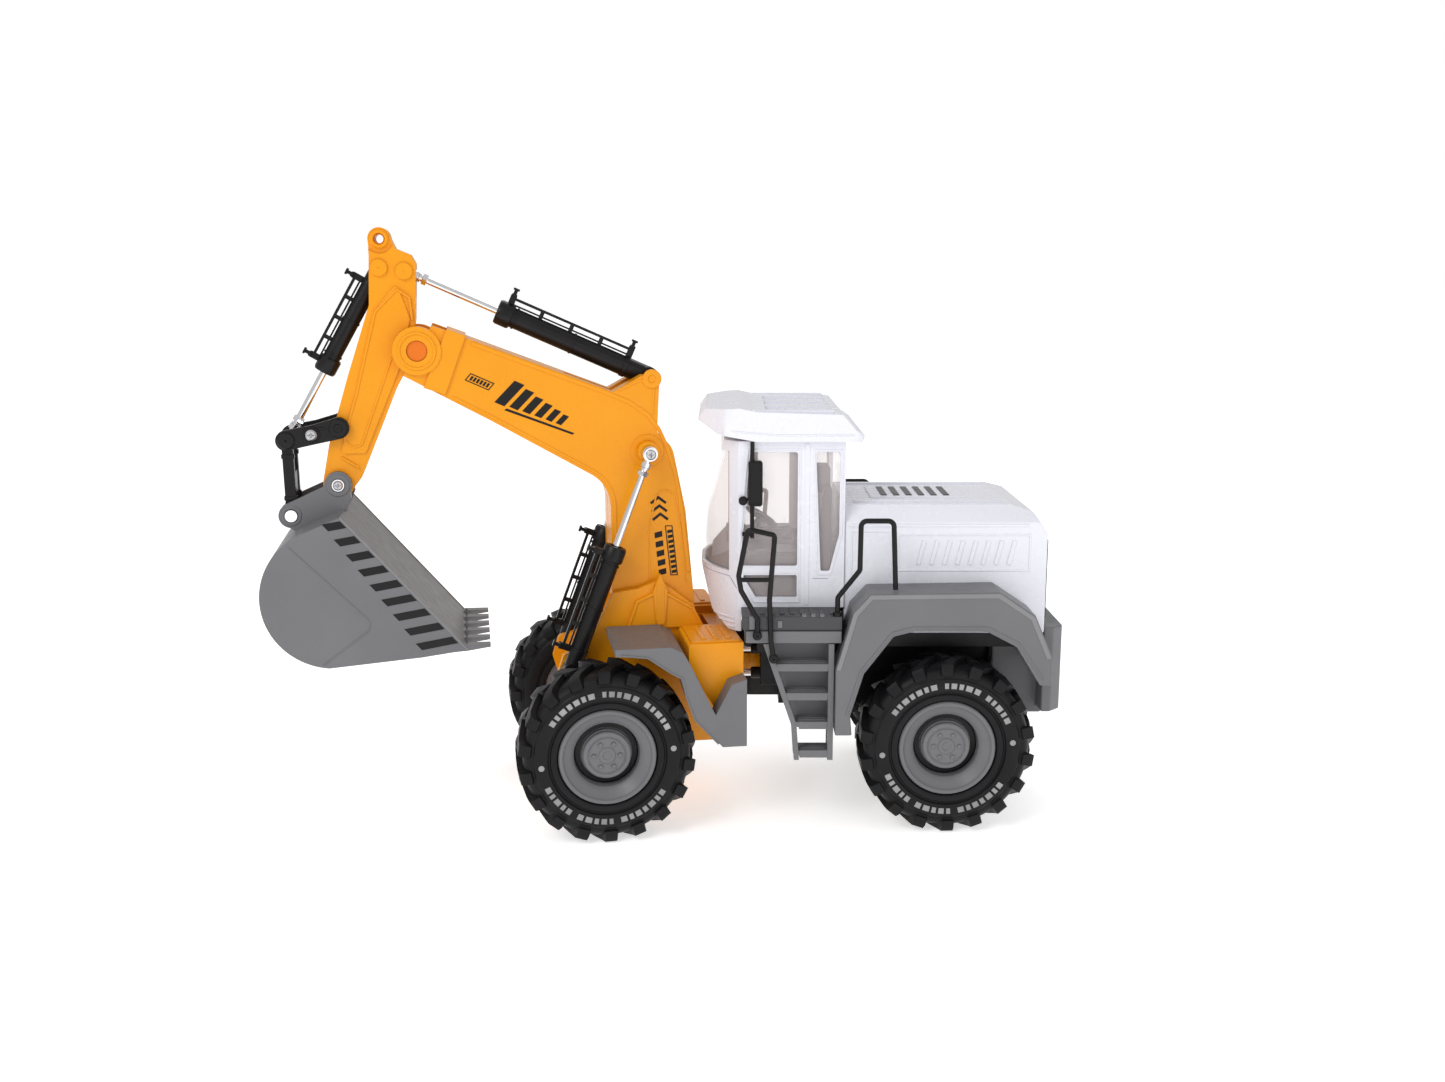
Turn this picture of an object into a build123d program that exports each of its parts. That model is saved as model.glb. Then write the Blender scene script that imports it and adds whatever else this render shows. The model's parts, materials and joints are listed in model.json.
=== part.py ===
from build123d import *
import math
import os

# A toy articulated wheel loader that carries an excavator arm and bucket on its front frame.
# Millimetres. The steering pivot is the origin of the two half frames while they are drawn:
# -X is forwards, -Y the machine's left side and +Z up. Heights are drawn with the tyres' tops at
# TYRE_TOP_Z, and the whole machine is set down on z = 0 when it is written. The front half is
# drawn straight ahead and turned by STEER_DEG about the pivot when it is written.

os.makedirs("parts", exist_ok=True)

# ---- overall sizes ----
STEER_DEG = 10.0            # how far the front half is steered
TYRE_R = 45.0
TYRE_WIDTH = 30.0
BETWEEN_TYRES = 86.0        # between the inner faces of a pair
TYRE_TOP_Z = 90.0           # level of the tyres' tops
FRONT_AXLE_X = -86.8
REAR_AXLE_X = 97.9
AXLE_R = 3.0
PIN_R = 1.8                 # the arm's small pins
BIG_PIN_R = 3.0             # boom foot, stick pivot and steering pin
RUN_GAP = 0.08              # radial gap of a pin or shaft in its hole
SIDE_GAP = 0.5              # gap between two pieces that turn beside each other
SEAT_GAP = 0.1              # gap between two fixed pieces
WALL = 2.0                  # moulded wall
AXLE_Z = TYRE_TOP_Z - TYRE_R
HALF_WIDTH = BETWEEN_TYRES / 2 + TYRE_WIDTH
STEER_Z = 72.0              # middle of the steering hinge

# ---- wheels ----
RIM_R = 24.6
LUG_HEIGHT = 2.8
LUGS_PER_SIDE = 18
HUB_CAP_R = 12.2
HUB_CAP_THICK = 3.0
HUB_FACE = 7.5              # from the wheel's middle to the face under the hub cap
BOLT_CIRCLE_R = 7.4
BOLT_R = 1.1
WHEEL_Y = BETWEEN_TYRES / 2 + TYRE_WIDTH / 2

# ---- arm pivots, (x, z) ----
BOOM_FOOT = (-52.0, 96.0)
STICK_PIVOT = (-173.6, 243.5)
BUCKET_PIVOT = (-215.1, 176.7)
LINK_PIN = (-238.7, 161.8)
ROCKER_PIVOT = (-213.7, 205.4)
ROCKER_END = (-239.3, 199.6)
LIFT_BASE = (-101.0, 78.0)
LIFT_EYE = (-58.7, 190.8)
HORN_PIN = (-56.0, 228.0)
STICK_ROD_PIN = (-178.5, 282.5)
BUCKET_BARREL_PIN = (-190.7, 284.2)
TOP_EYE = (-190.0, 298.2)

# ---- arm widths, measured from the middle plane ----
BOOM_HALF = 16.5
STICK_HALF = 10.6
BUCKET_HALF = 40.0
PLATE = 2.8                 # rocker plates
EAR = 3.4                   # bucket ears
CHEEK = 4.6                 # front frame's side plates
LINK_BAR = 3.6
TOP_EYE_HALF = 8.0
TOP_EYE_HOLE_R = 2.8
TOP_EYE_R = 5.6
LINK_SLACK = 1.1            # extra radius of the link's lower hole
CHEEK_GAP = 0.7             # between the boom and the front frame's side plates
CHEEK_IN = BOOM_HALF + CHEEK_GAP
CHEEK_OUT = CHEEK_IN + CHEEK
FORK_IN = STICK_HALF + SIDE_GAP
EAR_IN = STICK_HALF + SIDE_GAP
EAR_OUT = EAR_IN + EAR
LINK_OUT = EAR_IN - SIDE_GAP
LINK_IN = LINK_OUT - LINK_BAR
ROCKER_SPACER = (-226.9, 202.3)
ROCKER_HALF = EAR_IN + PLATE
BARREL_SLOT = STICK_HALF - WALL     # half the width of the stick's slot for the bucket cylinder

# ---- cylinders ----
LIFT_BARREL_R = 4.6
LIFT_BARREL_LEN = 69.4
LIFT_ROD_LEN = 80.0
STICK_BARREL_R = 5.2
STICK_BARREL_LEN = 84.4
STICK_ROD_LEN = 78.0
BUCKET_BARREL_R = 4.3
BUCKET_BARREL_LEN = 59.5
BUCKET_ROD_LEN = 60.0
ROD_R = 1.8
BARREL_WALL = 1.3
ROD_EYE_R = 3.8
ROD_EYE_HALF = 2.6
BORE_START = 10.0           # from a barrel's pin to the closed end of its bore
GLAND = 0.8                 # how far a barrel's open end stands proud
RAIL_POSTS = 5              # posts of a barrel's guard rail
RAIL_STAND = 4.0            # from the barrel to the rail's middle
STUB_R = PIN_R + 0.6        # moulded stub that each lift cylinder turns on
LIFT_Y = CHEEK_OUT + LIFT_BARREL_R + 0.6    # middle of each lift cylinder

# ---- rear body ----
CAB_HALF = 48.0
CAB_BULGE = 20.4            # how far the front of the cab bows forward
CAB_PILLAR_X = -8.0
CAB_BACK_X = 46.2
CAB_TOP_Z = 198.5
ROOF_HALF = CAB_HALF + 4.0
GLASS = 0.9
DECK_CLEAR = 8.7            # from the tyres' tops to the deck
DECK_THICK = 14.0
DECK_BOTTOM = TYRE_TOP_Z + DECK_CLEAR
DECK_TOP = DECK_BOTTOM + DECK_THICK
DECK_HALF = HALF_WIDTH - 5.0
DECK_X = (-6.1, 44.0)
HOOD_HALF = CAB_HALF - 1.0
HOOD_TOP = 164.7
HOOD_BACK_X = 150.0
HOOD_SLOPE = 8.0            # sloped edge along the engine cover's top
FENDER_OUTER = HALF_WIDTH - 1.0
CHASSIS_HALF = 24.0
CHASSIS_END = HOOD_BACK_X - 22.0
RAIL_R = 1.3
WING_HALF = HALF_WIDTH - 13.0       # front frame's side boxes
TREADS = 4                  # ladder steps


# ---- drawing helpers ----
def outline(points, radius=0.0, corners=None):
    """A face through (x, z) points, with all or some of its corners rounded."""
    face = make_face(Polyline(*points, close=True))
    if radius:
        chosen = face.vertices()
        if corners:
            wanted = [Vector(*points[index], 0) for index in corners]
            chosen = [v for v in chosen if min((Vector(v) - w).length for w in wanted) < 0.01]
        face = fillet(chosen, radius)
    return face


def prism(face, y_low, y_high):
    """A face drawn in x and z, made solid from y_low to y_high."""
    plane = Plane(origin=(0, y_high, 0), x_dir=(1, 0, 0), z_dir=(0, -1, 0))
    return extrude(plane * face, y_high - y_low)


def disc(centre, radius, y_low, y_high):
    """A round boss, pin or hole along Y."""
    return prism(Pos(*centre) * Circle(radius), y_low, y_high)


def box(x_low, x_high, y_low, y_high, z_low, z_high):
    middle = Pos((x_low + x_high) / 2, (y_low + y_high) / 2, (z_low + z_high) / 2)
    return middle * Box(x_high - x_low, y_high - y_low, z_high - z_low)


def both_sides(solid):
    return solid + mirror(solid, Plane.XZ)


def left_of(solid):
    """The same piece for the machine's left side, -Y."""
    return mirror(solid, Plane.XZ)


def along(start, end):
    """The place whose local X runs from one (x, z) point to another, with Y unchanged."""
    angle = math.degrees(math.atan2(end[1] - start[1], end[0] - start[0]))
    return Location((start[0], 0, start[1]), (0, -angle, 0))


def distance(start, end):
    return math.hypot(end[0] - start[0], end[1] - start[1])


def round_axle(axle_x, degrees, gap):
    """The (x, z) point at an angle round an axle, a gap outside the tyre. 0 degrees points backwards."""
    angle = math.radians(degrees)
    reach = TYRE_R + gap
    return (axle_x + reach * math.cos(angle), AXLE_Z + reach * math.sin(angle))


def tube(points, radius, bend):
    """A bent rod through 3-D points."""
    path = FilletPolyline(*points, radius=bend)
    start = Plane(origin=path @ 0, z_dir=path % 0)
    return sweep(start * Circle(radius), path=path)


# ---- wheels and axles ----
def tyre():
    """A tyre on the Y axis, with two rows of slanted lugs."""
    half = TYRE_WIDTH / 2
    crown = TYRE_R - LUG_HEIGHT
    bead = RIM_R + 0.05
    profile = [(bead, -half + 2), (bead + 2.4, -half + 0.4), (crown - 6, -half), (crown, -half + 3),
               (crown, half - 3), (crown - 6, half), (bead + 2.4, half - 0.4), (bead, half - 2)]
    carcass = revolve(Plane.XY * make_face(Polyline(*profile, close=True)), Axis.Y)
    lug = Rot(0, 0, 24) * Box(5.0, half + 1.0, 9.0)
    lugs = []
    for index in range(LUGS_PER_SIDE):
        turn = 360 / LUGS_PER_SIDE
        lugs.append(Rot(0, index * turn, 0) * Pos(0, half / 2 - 0.5, crown) * lug)
        mirrored = Rot(0, (index + 0.5) * turn, 0) * Pos(0, -half / 2 + 0.5, crown)
        lugs.append(mirrored * Rot(0, 0, -48) * lug)
    envelope = Rot(90, 0, 0) * Cylinder(TYRE_R, TYRE_WIDTH - 0.6)
    inner = Rot(90, 0, 0) * Cylinder(crown - 1.0, TYRE_WIDTH + 4)
    treads = [(piece & envelope) - inner for piece in lugs]
    return carcass.fuse(*treads)


def rim():
    """A rim on the Y axis with its open side towards +Y."""
    half = TYRE_WIDTH / 2
    profile = [(AXLE_R + RUN_GAP, -8), (14, -8), (20, 2 - half), (RIM_R, 2 - half), (RIM_R, half - 2),
               (RIM_R - 1.4, half - 0.6), (RIM_R - 3.2, half - 1.4), (16.6, half - 6.4), (15.4, 4.5),
               (HUB_CAP_R + 0.8, 3.5), (HUB_CAP_R, HUB_FACE), (AXLE_R + RUN_GAP, HUB_FACE)]
    return revolve(Plane.XY * make_face(Polyline(*profile, close=True)), Axis.Y)


def hub_cap():
    """The round cap over the axle's end, with a ring of bolt heads, facing +Y."""
    y_low = HUB_FACE + SEAT_GAP
    y_high = y_low + HUB_CAP_THICK
    edge = 1.2
    profile = [(0, y_low), (HUB_CAP_R, y_low), (HUB_CAP_R, y_high - edge), (HUB_CAP_R - edge, y_high),
               (0, y_high)]
    cap = revolve(Plane.XY * make_face(Polyline(*profile, close=True)), Axis.Y)
    bolts = []
    for index in range(6):
        angle = math.radians(60 * index)
        centre = (BOLT_CIRCLE_R * math.cos(angle), BOLT_CIRCLE_R * math.sin(angle))
        bolts.append(disc(centre, BOLT_R, y_high - 0.2, y_high + 0.7))
    return cap.fuse(*bolts)


def axle():
    return Rot(90, 0, 0) * Cylinder(AXLE_R, 2 * (WHEEL_Y + HUB_FACE - SEAT_GAP))


def wheel_set(prefix, axle_x):
    """Axle, two tyres, two rims and the caps of one pair of wheels."""
    place = Pos(axle_x, 0, AXLE_Z)
    right = place * Pos(0, WHEEL_Y, 0)
    pieces = {prefix + "_axle": place * axle()}
    one_tyre, one_rim, one_cap = tyre(), rim(), hub_cap()
    pieces[prefix + "_right_tyre"] = right * one_tyre
    pieces[prefix + "_right_rim"] = right * one_rim
    pieces[prefix + "_left_tyre"] = left_of(right * one_tyre)
    pieces[prefix + "_left_rim"] = left_of(right * one_rim)
    pieces[prefix + "_hub_caps"] = Compound([(right * one_cap), left_of(right * one_cap)])
    return pieces


# ---- front frame ----
FRAME_BACK_X = -16.0
FRAME_TOP_Z = 98.0
BELLY_TOP_Z = 66.0
AXLE_BORE_R = AXLE_R + RUN_GAP
RIB = 3.2                   # upright rib on each side plate
HINGE_R = 9.0
TONGUE = 10.0               # height of the hinge tongue
HOUSING_HALF = BETWEEN_TYRES / 2 - 5.0


def front_frame_half():
    """The right half of the front frame: side plate, belly, side box and half the hinge tongue."""
    back_z = FRAME_TOP_Z - 4
    cheek_points = [(-101, 50), (-108, 74), (-104.5, 85), (-92.5, 88), (-78, 117.3), (-64.7, 119),
                    (-53.6, 123.3), (-35.4, 109.1), (-30.4, back_z), (FRAME_BACK_X, back_z),
                    (FRAME_BACK_X, 50)]
    cheek = prism(outline(cheek_points, 2.5, corners=(1, 2, 4, 6, 7)), CHEEK_IN, CHEEK_OUT)
    boss_points = [(-71.6, 98), (-66, 113), (-57, 117), (-50, 117), (-35.4, 108), (-30.4, 98)]
    boss = prism(outline(boss_points, 1.5, corners=(1, 2, 3, 4)), CHEEK_OUT, CHEEK_OUT + 2.0)
    rib = box(-55.5, -51.5, CHEEK_OUT, CHEEK_OUT + RIB, 100, 121.5)
    belly = box(FRONT_AXLE_X - 14.2, FRAME_BACK_X, 0, CHEEK_OUT, AXLE_Z - 11, BELLY_TOP_Z)
    back = box(FRAME_BACK_X - 9, FRAME_BACK_X, 0, CHEEK_OUT, BELLY_TOP_Z - 6, back_z)
    housing = box(FRONT_AXLE_X - 10, FRONT_AXLE_X + 10, 0, HOUSING_HALF, AXLE_Z - 10, AXLE_Z + 11)
    wing_points = [(-44, FRAME_TOP_Z), (FRAME_BACK_X, FRAME_TOP_Z), (FRAME_BACK_X, 64), (-31, 64), (-44, 88)]
    wing = prism(outline(wing_points, 2.0, corners=(0,)), CHEEK_OUT - 1, WING_HALF)
    tongue = box(-20, 0, 0, HINGE_R - 1, STEER_Z - TONGUE / 2 + 0.5, STEER_Z + TONGUE / 2 + 0.5)
    tongue += Pos(0, 0, STEER_Z + 0.5) * Cylinder(HINGE_R, TONGUE)
    stub = disc(LIFT_BASE, STUB_R, CHEEK_OUT - 1, LIFT_Y + LIFT_BARREL_R)
    frame = cheek + boss + rib + belly + back + housing + wing + tongue + stub
    frame -= Pos(FRONT_AXLE_X, 0, AXLE_Z) * Rot(90, 0, 0) * Cylinder(AXLE_BORE_R, 4 * HALF_WIDTH)
    frame -= disc(BOOM_FOOT, BIG_PIN_R + RUN_GAP, 0, CHEEK_OUT)
    frame -= Pos(0, 0, STEER_Z) * Cylinder(BIG_PIN_R + RUN_GAP, 60)
    return frame & box(-300, 100, 0, 100, 0, 300)


def front_fender():
    """The right grey mudguard: a roof over the tyre and a panel down behind it."""
    knee = round_axle(FRONT_AXLE_X, 46.8, 16.7)
    roof_turns = [(85.2, 10.4), (59.8, 18.9), (53.6, 19.6), (46.8, 16.7), (45.1, 9.3), (52.7, 7.8),
                  (67.8, 9.4), (84.9, 6.8)]
    roof_points = [round_axle(FRONT_AXLE_X, degrees, gap) for degrees, gap in roof_turns]
    back_x = FRAME_BACK_X - 0.4
    behind = [round_axle(FRONT_AXLE_X, degrees, gap)
              for degrees, gap in ((46.8, 16.7), (25.6, 12.3), (19.2, 12.8))]
    ahead = [round_axle(FRONT_AXLE_X, degrees, gap)
             for degrees, gap in ((2.0, 13.2), (12.7, 5.6), (21.0, 2.2), (36.9, 4.4), (46.7, 8.6))]
    panel_points = behind + [(back_x - 7.8, 79.5), (back_x, 82), (back_x, 47)] + ahead
    roof = prism(outline(roof_points), CHEEK_OUT + RIB + SEAT_GAP, FENDER_OUTER)
    panel = prism(outline(panel_points), WING_HALF + SEAT_GAP, FENDER_OUTER)
    return roof - box(knee[0] - 0.2, 0, 0, WING_HALF + SEAT_GAP, 0, 120) + panel


# ---- boom ----
PIN_HEAD = 0.9              # height of a pin's head
STICK_HEAD_R = BIG_PIN_R + 2.0
BOOM_POINTS = [(-166, 256.0), (-76.1, 221.6), (-61, 229.8), (-52, 229.2), (-53.5, 200.5), (-45.5, 192.5),
               (-38.8, 159), (-34.4, 110), (-34.4, 99), (-70, 99), (-78, 113), (-78, 173.5), (-139, 208.5),
               (-180.7, 231.2)]


def boom_half():
    """The right half of the boom, a hollow moulding with a fork at the front and a horn on top."""
    face = outline(BOOM_POINTS, 20.0, corners=(11,))
    face = fillet([v for v in face.vertices() if abs(v.X + 45.5) < 0.1 and abs(v.Y - 192.5) < 0.1], 12.0)
    foot = Pos(*BOOM_FOOT) * Circle(18.5)
    nose = Pos(*STICK_PIVOT) * Circle(12.0)
    half = prism(face + foot + nose, 0, BOOM_HALF)
    collar = outline([(-158.6, 254.2), (-149.4, 250.8), (-160.4, 221.6), (-171, 225.2)])
    half += prism(collar, 0, BOOM_HALF + 1.2)
    half += disc(STICK_PIVOT, 12.0, FORK_IN, BOOM_HALF + 1.8)
    half += disc(LIFT_EYE, 5.5, BOOM_HALF - 1, LIFT_Y - ROD_EYE_HALF - SIDE_GAP)
    # openings for the stick and for the stick cylinder's barrel
    fork = outline([(-200, 215), (-158.5, 215), (-158.5, 270), (-200, 270)])
    half -= prism(fork, 0, FORK_IN)
    horn_slot = outline([(-100, 222), (-78, 217.5), (-66, 217.5), (-58, 213.5), (-40, 213.5), (-40, 240),
                         (-100, 240)])
    half -= prism(horn_slot, 0, STICK_BARREL_R + 1.1)
    # hollow inside
    room = offset(face, -WALL - 0.3) & outline([(-147, 262), (-80, 262), (-80, 216), (-56, 210), (-30, 200),
                                               (-30, 122), (-90, 122), (-147, 190)])
    room -= Pos(*LIFT_EYE) * Circle(6.0)
    half -= prism(room, 0, BOOM_HALF - WALL)
    for centre in (LIFT_EYE, HORN_PIN):
        half -= disc(centre, PIN_R + RUN_GAP, -1, BOOM_HALF + 20)
    half -= disc(BOOM_FOOT, BIG_PIN_R + RUN_GAP, -1, BOOM_HALF + 1)
    half -= disc(STICK_PIVOT, BIG_PIN_R + RUN_GAP, -1, BOOM_HALF + 5)
    half -= disc(STICK_PIVOT, STICK_HEAD_R + 0.2, BOOM_HALF, BOOM_HALF + 5)
    return half


def pin(centre, radius, y_half, head_r=0.0, head=PIN_HEAD):
    """A pin across the machine, with or without heads past its ends."""
    if not head_r:
        return disc(centre, radius, -y_half, y_half)
    shaft = disc(centre, radius, -y_half - head, y_half + head)
    return shaft + both_sides(disc(centre, head_r, y_half + SEAT_GAP, y_half + head))


# ---- stick ----
STICK_STEP = 0.8            # how far its panel and bosses stand proud
STICK_POINTS = [(-195.5, 298), (-195.2, 290.5), (-196.2, 266), (-208.3, 230.3), (-218.8, 196.9),
                (-222.6, 178.5), (-207.6, 174.5), (-203.4, 180), (-184.5, 224.5), (-178, 236), (-173.8, 258.2),
                (-172.6, 286), (-175, 290.4), (-182.2, 293.4), (-184.5, 298.6)]


def stick_half():
    """The right half of the stick with its raised panel and the eye at its top."""
    face = outline(STICK_POINTS) + Pos(*BUCKET_PIVOT) * Circle(7.6) + Pos(*STICK_PIVOT) * Circle(10.8)
    half = prism(face, 0, STICK_HALF - STICK_STEP)
    panel = outline([(-182.3, 277), (-176.5, 259), (-182, 236), (-201, 192), (-213.5, 192), (-206, 217.9),
                     (-194.6, 262)], 2.0)
    half += prism(panel, STICK_HALF - STICK_STEP - 0.1, STICK_HALF)
    half += disc(STICK_PIVOT, 10.8, 0, STICK_HALF)
    half += disc(BUCKET_PIVOT, 7.6, 0, STICK_HALF)
    half += disc(TOP_EYE, TOP_EYE_R, 0, TOP_EYE_HALF)
    for centre in (BUCKET_BARREL_PIN, STICK_ROD_PIN):
        half += disc(centre, 4.2, 0, STICK_HALF)
    half -= disc(TOP_EYE, TOP_EYE_R + 1.6, TOP_EYE_HALF, STICK_HALF + 1)
    # slots for the bucket cylinder's barrel and for the stick cylinder's rod eye
    run = along(BUCKET_BARREL_PIN, ROCKER_END)
    slot = run * box(-6.5, 70, -1, BUCKET_BARREL_R + 1.0, -BARREL_SLOT, BARREL_SLOT)
    half -= slot
    rod_slot = outline([(-185.5, 276), (-160, 262), (-160, 295), (-185.5, 289)])
    half -= prism(rod_slot, -1, ROD_EYE_HALF + SIDE_GAP)
    # hollow inside
    room = outline([(-180.5, 262), (-184.5, 236), (-204, 195), (-209, 195), (-203, 217), (-190, 250),
                    (-186, 264)])
    half -= prism(room, -1, STICK_HALF - WALL - STICK_STEP)
    for centre in (BUCKET_PIVOT, ROCKER_PIVOT, STICK_ROD_PIN, BUCKET_BARREL_PIN):
        half -= disc(centre, PIN_R + RUN_GAP, -1, STICK_HALF + 3)
    half -= disc(STICK_PIVOT, BIG_PIN_R + RUN_GAP, -1, STICK_HALF + 3)
    half -= disc(TOP_EYE, TOP_EYE_HOLE_R, -1, STICK_HALF + 3)
    return half


# ---- bucket, rocker and link ----
TEETH = 6
TOOTH_HALF = 3.0


def bucket():
    """A box bucket with a rounded back, teeth on its lip and two hinge ears."""
    lip = (-153.5, 95.0)
    edges = [Line((-213.0, 164.6), lip), Line(lip, (-176.2, 92.2)), Line((-176.2, 92.2), (-221.5, 88.7)),
             ThreePointArc((-221.5, 88.7), (-253.1, 124.0), (-233.5, 156.2)),
             Line((-233.5, 156.2), (-213.0, 164.6))]
    outer = make_face(Wire(edges))
    shell = prism(outer, -BUCKET_HALF, BUCKET_HALF)
    inner = offset(outer, -WALL) + outline([(-211, 163), (-154, 96.8), (-140, 120), (-190, 180)])
    inner -= outline([(-240, 200), (-209.9, 163.4), (-190, 180), (-200, 210)])
    shell -= prism(inner, WALL - BUCKET_HALF, BUCKET_HALF - WALL)
    tooth = outline([(-160, 97.6), (-153.5, 97.6), (-142.1, 97.4), (-142.1, 96.2), (-153.5, 94.6),
                     (-160, 94.2)])
    pitch = 2 * (BUCKET_HALF - TOOTH_HALF) / (TEETH - 1)
    for index in range(TEETH):
        middle = TOOTH_HALF - BUCKET_HALF + index * pitch
        shell += prism(tooth, middle - TOOTH_HALF, middle + TOOTH_HALF)
    ear_face = outline([(-210.5, 181), (-242.5, 167), (-243, 158), (-234, 152), (-213, 160), (-208.8, 170)])
    ear_face += Pos(*BUCKET_PIVOT) * Circle(6.8) + Pos(*LINK_PIN) * Circle(6.2)
    shell += both_sides(prism(ear_face, EAR_IN, EAR_OUT))
    shell -= prism(inner, WALL - BUCKET_HALF, BUCKET_HALF - WALL)
    for centre in (BUCKET_PIVOT, LINK_PIN):
        shell -= disc(centre, PIN_R + RUN_GAP, -BUCKET_HALF, BUCKET_HALF)
    return shell


def rocker_plate():
    """The right one of the two black plates that swing the bucket link."""
    bar = outline([(-214.5, 210.6), (-226.9, 207.0), (-240.3, 204.6), (-238.8, 194.7), (-226.9, 197.2),
                   (-213.0, 200.0)])
    face = bar + Pos(*ROCKER_PIVOT) * Circle(5.4) + Pos(*ROCKER_END) * Circle(5.1)
    plate = prism(face, EAR_IN, ROCKER_HALF)
    for centre in (ROCKER_PIVOT, ROCKER_END, ROCKER_SPACER):
        plate -= disc(centre, PIN_R + RUN_GAP, 0, 30)
    return plate


def bucket_link():
    """The H-shaped link between the rocker and the bucket. Its lower hole has slack."""
    length = distance(ROCKER_END, LINK_PIN)
    place = along(ROCKER_END, LINK_PIN)
    bar = box(0, length, LINK_IN, LINK_OUT, -2.7, 2.7)
    bar = place * bar + disc(ROCKER_END, 4.4, LINK_IN, LINK_OUT) + disc(LINK_PIN, 4.6, LINK_IN, LINK_OUT)
    web = place * box(length * 0.45, length * 0.75, -LINK_OUT, LINK_OUT, -2.2, 2.2)
    link = both_sides(bar) + web
    link -= disc(ROCKER_END, PIN_R + RUN_GAP, -20, 20)
    link -= disc(LINK_PIN, PIN_R + RUN_GAP + LINK_SLACK, -20, 20)
    return link


# ---- cylinders ----
def barrel(length, radius, hole_r, rail_side):
    """A hollow cylinder barrel along local X from its pin, with a guard rail down one side."""
    body = Pos(length / 2, 0, 0) * Rot(0, 90, 0) * Cylinder(radius, length)
    body += Pos(length - 4, 0, 0) * Rot(0, 90, 0) * Cylinder(radius + GLAND, 8)
    body += Rot(90, 0, 0) * Cylinder(radius, 2 * radius)
    body -= Pos(BORE_START + length / 2, 0, 0) * Rot(0, 90, 0) * Cylinder(radius - BARREL_WALL, length)
    rail_z = rail_side * (radius + RAIL_STAND)
    rail_start = length * 0.16
    rail_end = length - 5
    for index in range(RAIL_POSTS):
        x = rail_start + (rail_end - rail_start) * index / (RAIL_POSTS - 1)
        at_end = index in (0, RAIL_POSTS - 1)
        thick = 1.6 if at_end else 1.0
        reach = 1.6 if at_end else 0.4
        z_values = sorted((rail_side * (radius - 0.6), rail_z + rail_side * reach))
        body += box(x - thick, x + thick, -1.1, 1.1, z_values[0], z_values[1])
    body += box(rail_start, rail_end, -1.1, 1.1, rail_z - 0.7, rail_z + 0.7)
    body -= Rot(90, 0, 0) * Cylinder(hole_r + RUN_GAP, 4 * radius)
    return body


def rod(full_length, rod_length, hole_r):
    """A chromed rod along local X that ends in its eye at full_length."""
    body = Pos(full_length - rod_length / 2, 0, 0) * Rot(0, 90, 0) * Cylinder(ROD_R, rod_length)
    body += Pos(full_length - ROD_EYE_R - 2.4, 0, 0) * Rot(0, 90, 0) * Cylinder(ROD_R + 1.0, 2.4)
    body += Pos(full_length, 0, 0) * Rot(90, 0, 0) * Cylinder(ROD_EYE_R, 2 * ROD_EYE_HALF)
    body -= Pos(full_length, 0, 0) * Rot(90, 0, 0) * Cylinder(hole_r + RUN_GAP, 60)
    return body


# ---- rear body ----
CAB_FLOOR_Z = DECK_TOP + SEAT_GAP
NOSE_BOTTOM_Z = DECK_BOTTOM + 1.5
WINDOW_TOP_Z = CAB_TOP_Z - 5.5
SILL_Z = DECK_TOP + 21.8    # lower edge of the door window
GLASS_INSET = WALL + SEAT_GAP


def cab_volume(inset):
    """The cab's outer form drawn in by inset: a side outline cut by a bowed plan."""
    nose_x = DECK_X[0] - 0.2
    side = [(-15.2, CAB_TOP_Z), (-26.4, DECK_TOP + 45.3), (-28.4, DECK_TOP + 28.3), (-26.8, DECK_TOP + 15.3),
            (-21.5, DECK_TOP - 4.7), (-13, NOSE_BOTTOM_Z), (nose_x, NOSE_BOTTOM_Z), (nose_x, CAB_FLOOR_Z),
            (CAB_BACK_X, CAB_FLOOR_Z), (CAB_BACK_X, CAB_TOP_Z)]
    side_face = outline(side, 3.0, corners=(1, 2, 3, 4))
    front = CAB_PILLAR_X - CAB_BULGE
    plan = Wire([ThreePointArc((CAB_PILLAR_X, -CAB_HALF), (front, 0), (CAB_PILLAR_X, CAB_HALF)),
                 Line((CAB_PILLAR_X, CAB_HALF), (CAB_BACK_X, CAB_HALF)),
                 Line((CAB_BACK_X, CAB_HALF), (CAB_BACK_X, -CAB_HALF)),
                 Line((CAB_BACK_X, -CAB_HALF), (CAB_PILLAR_X, -CAB_HALF))])
    plan_face = make_face(plan)
    if inset:
        side_face = offset(side_face, -inset)
        plan_face = offset(plan_face, -inset)
    return prism(side_face, -2 * CAB_HALF, 2 * CAB_HALF) & extrude(plan_face, 2 * CAB_TOP_Z)


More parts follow.
